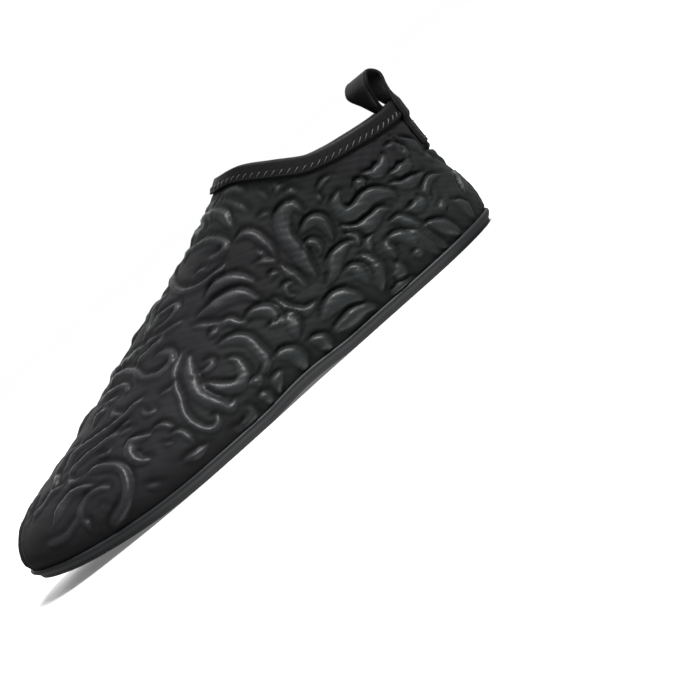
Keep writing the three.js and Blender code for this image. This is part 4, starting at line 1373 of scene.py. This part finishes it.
# The side is painted paler than the tread as a painted reflection of the pale floor, and the paint comes in
# over the first rings
painted_flank_start = [0, 0, 0.3, 0.7]
weld_distance = 0.000005
bottom_height = ground_height(flat[..., 0] / length) + lug_depth - height
bottom = np.concatenate([flat, bottom_height[..., None]], -1)
loop_turns = np.concatenate([row_turns, (1 - row_turns[1:-1])[::-1]])
loop = [row * (sole_columns + 1) for row in range(sole_rows + 1)]
loop += [row * (sole_columns + 1) + sole_columns for row in range(sole_rows - 1, 0, -1)]
loop_size = len(loop)
at_loop = at_turn(loop_turns)
rings = []
for set_in, up in side_profile:
    ring = outline_point(loop_turns, set_in)
    rings.append(np.concatenate([ring, (ground_height(at_loop) + up)[:, None]], -1))
points = np.concatenate([bottom.reshape(-1, 3)] + rings)
row_width = sole_columns + 1
faces = grid_faces(sole_rows + 1, row_width, False)
first_ring = len(bottom.reshape(-1, 3))
for k in range(loop_size):
    ahead = (k + 1) % loop_size
    faces.append([loop[ahead], loop[k], first_ring + k, first_ring + ahead])
for ring in range(len(side_profile) - 1):
    base = first_ring + ring * loop_size
    for k in range(loop_size):
        ahead = (k + 1) % loop_size
        faces.append([base + ahead, base + k, base + loop_size + k, base + loop_size + ahead])
top = first_ring + (len(side_profile) - 1) * loop_size
for k in range(sole_rows):
    other = (loop_size - k) % loop_size
    other_ahead = (loop_size - k - 1) % loop_size
    corners = without_repeats([top + k, top + other, top + other_ahead, top + k + 1])
    if len(corners) > 2:
        faces.append(corners)
sole = make_piece("moulded_sole", points, faces, [rubber])
add_numbers(sole, "relief", np.concatenate([cover.ravel(), np.zeros(len(points) - cover.size)]))
painted_flank_rings = painted_flank_start + [1] * (len(side_profile) - len(painted_flank_start))
add_numbers(sole, "painted_flank_light", np.concatenate([np.zeros(cover.size), np.repeat(painted_flank_rings, loop_size)]))
face_outwards(sole, weld_distance)
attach(sole, "root")
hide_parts("outsole")
print("sole faces after closing the tips:", len(sole.data.polygons))

# %% [markdown]
# The foam bed
#
# The insole is cut from cloth-faced foam and drops in through the collar. Little of it shows, so it needs
# only its outline, a softened edge, the shallow cup that a foot presses in, and its weave.

# %% The insole
bed_columns = 220
bed_turns = np.linspace(0, 1, bed_columns + 1)[:-1]
bed_inset = ledge + wall + insole_clearance
# Columns: millimetres in from the bed's edge, millimetres above the sole's top
bed_rings = [
    (0.6, 0.0),
    (0.0, 0.5),
    (0.0, 1.9),
    (0.5, 2.5),
    (1.6, insole_thickness),
    (5.0, 2.45),
    (9.0, 2.3),
]
ways_to_middle = (0.3, 0.6, 0.85)
bed_height = feather_height(at_turn(bed_turns))
lines = []
for set_in, up in bed_rings:
    line = outline_point(bed_turns, bed_inset + set_in)
    lines.append(np.concatenate([line, (bed_height + up)[:, None]], -1))
spine = lines[-1].copy()
mirrored = lines[-1][(-np.arange(bed_columns)) % bed_columns]
for share in ways_to_middle:
    lines.append(spine + (mirrored - spine) * share / 2)
points = np.concatenate(lines)
faces = grid_faces(len(lines), bed_columns, True)
last = (len(lines) - 1) * bed_columns
for k in range(bed_columns // 2):
    other = (bed_columns - k) % bed_columns
    other_ahead = (bed_columns - k - 1) % bed_columns
    faces.append(without_repeats([last + k, last + k + 1, last + other_ahead, last + other]))
    faces.append(without_repeats([k, other, other_ahead, k + 1]))
bed = make_piece("foam_bed", points, faces, [insole_cloth])
add_map(bed, points[:, 0], points[:, 1])
face_outwards(bed)
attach(bed, "root")
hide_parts("insole")

# %% [markdown]
# The folded collar tape
#
# The collar is bound with elastic tape, folded over the raw edge and sewn down with a zigzag that
# stretches with it. The tape's section is a tall U with a soft fold on top. It is swept round the collar
# by asking the upper's surface for its place at each drop below the edge. Between the stitches the tape
# swells a little, and each stitch holds it in.

# %% The tape's section: distance from the upper's face, drop below its edge
stitch_pitch = 3.1
stitch_high = 3.2
stitch_low = 5.5
# How far round itself a stitch holds the tape in, and how deep at its upper and lower end
stitch_reach = 0.9
pull_high = 0.13
pull_low = 0.16
fold_middle = -wall / 2
fold_half = edge_roll + wall / 2


def tape_section():
    rows = [(binding_clearance, 2.0), (binding_clearance, 4.5), (binding_clearance, 6.2)]
    rows += [(binding_clearance + 0.25, 6.5), (edge_roll - 0.3, 6.5), (edge_roll - 0.05, 6.3)]
    rows += [(edge_roll, drop) for drop in (5.9, 5.4, 4.8, 4.2, 3.6, 3.0, 2.5, 2.0, 1.5, 1.0, 0.5)]
    for k in range(17):
        angle = math.pi * k / 16
        rows.append((fold_middle + fold_half * math.cos(angle), -edge_roll * math.sin(angle)))
    inner_face = -wall - edge_roll
    inner_cloth = -wall - binding_clearance
    rows += [(inner_face, drop) for drop in (0.6, 1.5, 2.5, 3.5, 4.5, 5.5, 6.2)]
    rows += [(inner_face + 0.3, 6.5), (inner_cloth - 0.2, 6.5)]
    rows += [(inner_cloth, drop) for drop in (6.2, 4.0, 2.0, -0.2)]
    rows += [(fold_middle, -binding_clearance), (binding_clearance, -0.2)]
    return rows


collar_columns = 720
section_step = 0.7
collar_turns = even_turns(collar_columns, 1.0)
collar_edge = upper_point(collar_turns, 1.0)
collar_gone = running_length(collar_edge)
collar_girth = collar_gone[-1] + np.linalg.norm(collar_edge[0] - collar_edge[-1])
# Two legs to a stitch, in whole numbers, so that the zigzag closes on itself
leg_count = 4 * round(collar_girth / stitch_pitch / 2)
wave = np.cos(2 * np.pi * collar_gone / collar_girth * leg_count / 2)
rings = []
for across, drop in tape_section():
    swell = np.zeros(collar_columns)
    if across >= edge_roll - 0.01 and drop > 0:
        hold_high = np.exp(-((drop - stitch_high) / stitch_reach) ** 2)
        hold_low = np.exp(-((drop - stitch_low) / stitch_reach) ** 2)
        swell = -pull_high * hold_high * (1 + wave) / 2 - pull_low * hold_low * (1 - wave) / 2
    ring = collar_point(collar_turns, across + swell, drop)
    if drop > 6.0 and across > 0:
        raised = collar_point(collar_turns, across + swell, drop - 0.3)
        ring = ring + (raised - ring) * (0.3 * (1 - wave))[:, None]
    rings.append(ring)
points = np.concatenate(rings)
section_size = len(rings)
faces = grid_faces(section_size, collar_columns, True)
last = (section_size - 1) * collar_columns
for k in range(collar_columns):
    ahead = (k + 1) % collar_columns
    faces.append([last + k, last + ahead, ahead, k])
binding = make_piece("collar_tape", points, faces, [binding_tape])
section_gone = np.arange(section_size) * section_step
add_map(binding, np.tile(collar_gone, section_size), np.repeat(section_gone, collar_columns))
face_outwards(binding)
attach(binding, "root")
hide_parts("collar_binding")
print("collar girth:", round(float(collar_girth)), "mm,", leg_count, "stitch legs")

# %% [markdown]
# Stitches from Geometry Nodes
#
# A stitch is a short length of thread that dips into the cloth at both ends. The paths are plain lines of
# points, one line for each leg of a stitch. The node tree turns every line into a round thread with a
# taper at its ends, so the thread's thickness can be changed in one place. The result is made into a
# plain mesh.


# %% A node tree that turns lines into thread
thread_sides = 7
end_taper = 0.45
# Places along one visible thread, as shares of its length, and how far it stands off the cloth
thread_arc = [(0.04, -0.12), (0.2, 0.13), (0.5, 0.2), (0.8, 0.13), (0.96, -0.12)]
seam_arc = [(0.1, -0.1), (0.3, 0.1), (0.5, 0.14), (0.7, 0.1), (0.9, -0.1)]


def thread_tree():
    tree = bpy.data.node_groups.new("thread_on_lines", "GeometryNodeTree")
    for name, way, kind in [
        ("Lines", "INPUT", "NodeSocketGeometry"),
        ("Thread radius", "INPUT", "NodeSocketFloat"),
        ("End taper", "INPUT", "NodeSocketFloat"),
        ("Finish", "INPUT", "NodeSocketMaterial"),
        ("Thread", "OUTPUT", "NodeSocketGeometry"),
    ]:
        tree.interface.new_socket(name, in_out=way, socket_type=kind)
    given = {socket.name: Value(tree, socket) for socket in tree.nodes.new("NodeGroupInput").outputs}
    curves = add_node(tree, "GeometryNodeMeshToCurve", None, {"Mesh": given["Lines"]})
    from_middle = (add_node(tree, "GeometryNodeSplineParameter") - 0.5).size()
    taper = add_node(tree, "ShaderNodeMapRange", None, {
        "Value": from_middle,
        "From Min": 0.5,
        "From Max": 0.3,
        "To Min": given["End taper"],
        "To Max": 1.0,
    })
    path = add_node(tree, "GeometryNodeSetCurveRadius", None, {"Curve": curves, "Radius": taper})
    circle = add_node(tree, "GeometryNodeCurvePrimitiveCircle", None, {
        "Resolution": thread_sides,
        "Radius": given["Thread radius"],
    })
    tube = add_node(tree, "GeometryNodeCurveToMesh", None, {
        "Curve": path,
        "Profile Curve": circle,
        "Scale": taper,
        "Fill Caps": True,
    })
    whole = add_node(tree, "GeometryNodeRealizeInstances", None, {"Geometry": tube})
    finish = {"Geometry": whole, "Material": given["Finish"]}
    paint = add_node(tree, "GeometryNodeSetMaterial", None, finish)
    tree.links.new(paint.socket, tree.nodes.new("NodeGroupOutput").inputs["Thread"])
    return tree


thread_nodes = thread_tree()


def sew(name, lines, radius, finish):
    points = []
    edges = []
    for line in lines:
        first = len(points)
        points += [tuple(place) for place in line]
        edges += [(first + k, first + k + 1) for k in range(len(line) - 1)]
    moved = np.array(points)
    moved[:, 0] += toe_tip
    guide = bpy.data.meshes.new(name + "_lines")
    guide.from_pydata((moved * mm).tolist(), edges, [])
    holder = place_in_scene(name + "_lines", guide)
    modifier = holder.modifiers.new("thread", "NODES")
    modifier.node_group = thread_nodes
    names = {item.name: item.identifier for item in thread_nodes.interface.items_tree
             if item.item_type == "SOCKET" and item.in_out == "INPUT"}
    modifier[names["Thread radius"]] = radius * mm
    modifier[names["End taper"]] = end_taper
    modifier[names["Finish"]] = finish
    graph = bpy.context.evaluated_depsgraph_get()
    mesh = bpy.data.meshes.new_from_object(holder.evaluated_get(graph), depsgraph=graph)
    holder.modifiers.clear()
    bpy.data.objects.remove(holder)
    mesh.name = name
    piece = place_in_scene(name, mesh)
    mesh.shade_smooth()
    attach(piece, "root")
    print(name, "has", len(lines), "threads and", len(mesh.polygons), "faces")


# %% The zigzag on the collar: each second leg shows, and the long leg between runs inside the tape
thread_radius = 0.21
hidden_depth = 0.5
leg_run = 0.6


def zigzag(face_across, lift):
    lines = []
    step_length = collar_girth / leg_count
    closed_gone = np.append(collar_gone, collar_girth)
    closed_turns = np.append(collar_turns, 1.0)
    for leg in range(leg_count):
        tick = leg % 2 == 0
        sunk = 0.0 if tick else hidden_depth
        places = []
        for share, out in thread_arc:
            run = leg_run * share if tick else leg_run - 1 + (2 - leg_run) * share
            turn = np.interp((leg + run) * step_length % collar_girth, closed_gone, closed_turns)
            down = stitch_high + (stitch_low - stitch_high) * (share if tick else 1 - share)
            places.append(collar_point(np.array([turn]), face_across + lift * (out - sunk), down)[0])
        lines.append(places)
    return lines


sew("collar_stitches", zigzag(edge_roll, 1), thread_radius, grey_thread)
sew("inside_stitches", zigzag(-wall - edge_roll, -1), thread_radius, grey_thread)

# %% [markdown]
# The pull loop
#
# One piece of smooth tape is sewn to the back of the heel, runs up over the collar, folds over with a
# slight twist and is tucked in behind the lining. Each lengthwise line of the tape is its own smooth
# curve, and the twist comes from letting the lines part at the fold.

# %% Sizes of the loop
loop_width = 22
loop_thickness = 1.5
loop_rise = 17
loop_sewn = 21
loop_tuck = 13
loop_twist = math.radians(24)
loop_lean = 5
loop_fold = 3.8
tape_clearance = 0.5


def turn_across(across, rise):
    turns = np.linspace(0, 0.12, 400)
    line = upper_point(1 - turns if across > 0 else turns, rise)
    reached = np.abs(line[:, 1] - upper_point(0.0, rise)[1])
    turn = np.interp(abs(across), reached, turns)
    return 1 - turn if across > 0 else turn


def tape_point(across, face, drop):
    rise = float(rise_below_edge(0.0, drop)[0]) if drop > 0 else 1.0
    turn = turn_across(across, rise)
    if drop > 0:
        return beside(np.array([turn]), rise, np.array([face]))[0]
    return collar_point(np.array([turn]), face, drop)[0]


# A smooth curve through given places that doesn't overshoot where they lie unevenly
def part_way(t, start, end, first, second):
    return (end - t) / (end - start) * first + (t - start) / (end - start) * second


def centripetal(points, count):
    points = np.asarray(points, float)
    padded_points = np.concatenate([[2 * points[0] - points[1]], points, [2 * points[-1] - points[-2]]])
    dense = []
    for k in range(len(points) - 1):
        p = padded_points[k:k + 4]
        knots = np.concatenate([[0], np.cumsum(np.linalg.norm(np.diff(p, axis=0), axis=-1) ** 0.5)])
        t = np.linspace(knots[1], knots[2], 24, endpoint=k == len(points) - 2)[:, None]
        first = part_way(t, knots[0], knots[1], p[0], p[1])
        second = part_way(t, knots[1], knots[2], p[1], p[2])
        third = part_way(t, knots[2], knots[3], p[2], p[3])
        early = part_way(t, knots[0], knots[2], first, second)
        late = part_way(t, knots[1], knots[3], second, third)
        dense.append(part_way(t, knots[1], knots[2], early, late))
    dense = np.concatenate(dense)
    gone = running_length(dense)
    wanted = np.linspace(0, gone[-1], count)
    return np.stack([np.interp(wanted, gone, dense[:, k]) for k in range(3)], -1)


# %% The loop's middle surface, with the drops below the collar's edge where the tape is held
loop_columns = 29
sewn_drops = (loop_sewn, 18.4, 15.75, 12, binding_height + 2 * gap)
over_drops = (binding_leg, 4.9, binding_leg / 2, 1.6, 0)
tucked_drops = (0, 3.2, loop_tuck * 0.5, 9.8, loop_tuck)
low_face = tape_clearance + loop_thickness / 2
outer_face = edge_roll + gap + loop_thickness / 2
inner_face = -wall - edge_roll - tape_clearance - loop_thickness / 2
fold_place = upper_point(0.0, 1.0).copy()
fold_place[0] -= loop_lean
fold_place[2] = heel_height + loop_rise - loop_thickness / 2
out = np.array([math.cos(loop_twist), math.sin(loop_twist), 0]) * loop_fold
loop_lines = []
for column in range(loop_columns):
    across = (column / (loop_columns - 1) - 0.5) * loop_width
    sewn = [tape_point(across, low_face, drop) for drop in sewn_drops]
    over = [tape_point(across, outer_face, drop) for drop in over_drops]
    tucked = [tape_point(across, inner_face, drop) for drop in tucked_drops]
    fold = fold_place + [-across * math.sin(loop_twist), across * math.cos(loop_twist), 0]
    behind = fold + out - [0, 0, loop_fold]
    ahead = fold - out - [0, 0, loop_fold]
    stops = [over[-1], (over[-1] + behind) / 2, behind, fold, ahead, (tucked[0] + ahead) / 2, tucked[0]]
    free_part = centripetal(stops, 60)
    line = np.concatenate([centripetal(sewn + over, 40), free_part[1:-1], centripetal(tucked, 16)])
    loop_lines.append(line)
loop_grid = np.array(loop_lines)
along = np.gradient(loop_grid, axis=1)
sideways = np.gradient(loop_grid, axis=0)
loop_normals = np.cross(sideways, along)
loop_normals /= np.linalg.norm(loop_normals, axis=-1, keepdims=True)
print("loop grid:", loop_grid.shape[:2])

# %% The loop's mesh, thinner at its selvedges
# The selvedge begins at this share of the half width, with a small woven welt beside it
selvedge_start = 0.86
selvedge_thinner = 0.28
welt_at = 0.88
welt_width = 0.05
welt_height = 0.10
map_step = 0.8
spread = np.abs(np.linspace(-1, 1, loop_columns))[:, None]
thin = selvedge_thinner * smooth((spread - selvedge_start) / (1 - selvedge_start))
welt = welt_height * np.exp(-((spread - welt_at) / welt_width) ** 2)
lift = loop_normals * (loop_thickness / 2 * (1 - thin) + welt)[..., None]
front = loop_grid + lift
back = loop_grid - lift
stations = loop_grid.shape[1]
points = np.concatenate([front.reshape(-1, 3), back.reshape(-1, 3)])
count = loop_columns * stations
faces = grid_faces(loop_columns, stations, False)
faces += grid_faces(loop_columns, stations, False, count, flip=True)
for k in range(stations - 1):
    faces.append([k + 1, k, count + k, count + k + 1])
    low = (loop_columns - 1) * stations + k
    faces.append([low, low + 1, count + low + 1, count + low])
for k in range(loop_columns - 1):
    near = k * stations
    faces.append([near, near + stations, count + near + stations, count + near])
    far = near + stations - 1
    faces.append([far + stations, far, count + far, count + far + stations])
loop_piece = make_piece("heel_loop", points, faces, [loop_tape])
loop_across = np.repeat(np.linspace(0, loop_width, loop_columns), stations)
loop_along = np.tile(np.arange(stations) * map_step, loop_columns)
add_map(loop_piece, np.tile(loop_along, 2), np.tile(loop_across, 2))
face_outwards(loop_piece)
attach(loop_piece, "root")
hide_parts("pull_loop")


# %% The box seam that holds the loop: its half width, and its drops below the collar's edge
seam_half = loop_width / 2 - 2.2
seam_high = 11.0
seam_low = 19.3
seam_pitch = 2.6
seam_radius = 0.2


def box_seam():
    corners = np.array([(-seam_half, seam_high), (seam_half, seam_high), (seam_half, seam_low),
                        (-seam_half, seam_low)])
    lines = []
    for start, end in zip(corners, np.roll(corners, -1, axis=0)):
        count = max(int(np.linalg.norm(end - start) / seam_pitch), 1)
        for k in range(count):
            places = []
            for share, out in seam_arc:
                across, drop = start + (end - start) * (k + share) / count
                places.append(tape_point(across, low_face + loop_thickness / 2 + out, drop))
            lines.append(places)
    return lines


sew("loop_stitches", box_seam(), seam_radius, black_thread)

# %% [markdown]
# Floor, light and camera
#
# The shoe stands on a plain pale floor. A wide soft light comes from above, from the heel's end and the
# outer side, so that it grazes the relief, and weak lights fill the far side and the tread. The reference
# shows the shoe leaning, so the camera is rolled instead and the shoe stays on its sole.

# %% The floor
floor_mesh = bpy.data.meshes.new("floor")
floor_half = 6.0
floor_corners = [(x * floor_half, y * floor_half, 0) for x, y in ((-1, -1), (1, -1), (1, 1), (-1, 1))]
floor_mesh.from_pydata(floor_corners, [], [(0, 1, 2, 3)])
floor = place_in_scene("floor", floor_mesh)
floor_material, floor_tree, floor_shader = new_material("pale_floor", {
    "Specular IOR Level": 0.3,
    "Emission Color": (1, 1, 1, 1),
    "Emission Strength": 0.14,
})
paper = noise(floor_tree, object_place(floor_tree), 9.0, 4.0)
plug(floor_tree, floor_shader, "Base Color", mix_colours(paper, (0.87, 0.87, 0.875), (0.91, 0.91, 0.915)))
plug(floor_tree, floor_shader, "Roughness", 0.55 + 0.1 * paper)
# The floor is clear from below, so that the tread shows
back_face = 6
below = add_node(floor_tree, "ShaderNodeNewGeometry", output=back_face)
clear = add_node(floor_tree, "ShaderNodeBsdfTransparent")
painted = Value(floor_tree, floor_shader.outputs[0])
one_sided = add_node(floor_tree, "ShaderNodeMixShader", None, {0: below, 1: painted, 2: clear})
floor_tree.links.new(one_sided.socket, floor_tree.nodes["Material Output"].inputs["Surface"])
floor_mesh.materials.append(floor_material)
floor.visible_diffuse = False
floor.visible_glossy = False
floor.visible_shadow = False


# %% Lights
def aim_at(holder, direction):
    holder.rotation_euler = Vector(direction).to_track_quat("-Z", "Y").to_euler()


def area_light(name, place, target, size, power):
    lamp = bpy.data.lights.new(name, "AREA")
    lamp.shape = "DISK"
    lamp.size = size
    lamp.energy = power
    holder = place_in_scene(name, lamp)
    holder.location = place
    aim_at(holder, Vector(target) - Vector(place))


soft_sun = bpy.data.lights.new("soft_sun", "SUN")
soft_sun.energy = 3.0
soft_sun.angle = math.radians(22)
aim_at(place_in_scene("soft_sun", soft_sun), (-0.38, 0.32, -0.84))
area_light("rim", (0.55, 0.65, 0.75), (0, 0, 0.05), 0.6, 4.0)
area_light("far_fill", (-0.15, 0.85, 0.45), (0, 0, 0.03), 0.8, 2.8)
area_light("floor_bounce", (0.05, -0.25, -0.70), (0, 0, 0), 0.9, 3.6)
area_light("strip", (0.30, -0.55, 0.85), (0.02, 0, 0.05), 0.35, 6.0)

# %% The surroundings: white to the camera, dimmer as a light on the shoe
world_light = 0.24
world = bpy.data.worlds.new("studio")
bpy.context.scene.world = world
world.use_nodes = True
world_tree = world.node_tree
seen = add_node(world_tree, "ShaderNodeLightPath")
background = world_tree.nodes["Background"]
world_tree.links.new((world_light + (1 - world_light) * seen).socket, background.inputs["Strength"])
background.inputs["Color"].default_value = (1, 1, 1, 1)
bpy.context.scene.view_settings.view_transform = "Standard"

# %% The camera, at the reference's angle to the shoe
camera_azimuth = math.radians(-1)
camera_elevation = math.radians(6)
camera_roll = math.radians(41)
camera_distance = 0.95
camera_target = Vector((0.0, 0.0, 0.040))
aim_right = 0.058
aim_up = -0.006
camera_lens = 115.0
toward, level, upright = [Vector(axis) for axis in view_axes(camera_azimuth, camera_elevation)]
picture_right = level * math.cos(camera_roll) - upright * math.sin(camera_roll)
picture_up = level * math.sin(camera_roll) + upright * math.cos(camera_roll)
camera_data = bpy.data.cameras.new("camera")
camera_data.lens = camera_lens
camera_data.sensor_width = 36
camera = place_in_scene("camera", camera_data)
camera.matrix_world = Matrix((
    (picture_right.x, picture_up.x, toward.x, 0),
    (picture_right.y, picture_up.y, toward.y, 0),
    (picture_right.z, picture_up.z, toward.z, 0),
    (0, 0, 0, 1),
))
aim = camera_target + picture_right * aim_right + picture_up * aim_up
camera.location = aim + toward * camera_distance
bpy.context.scene.camera = camera
print("camera height:", round(camera.location.z, 3), "m")
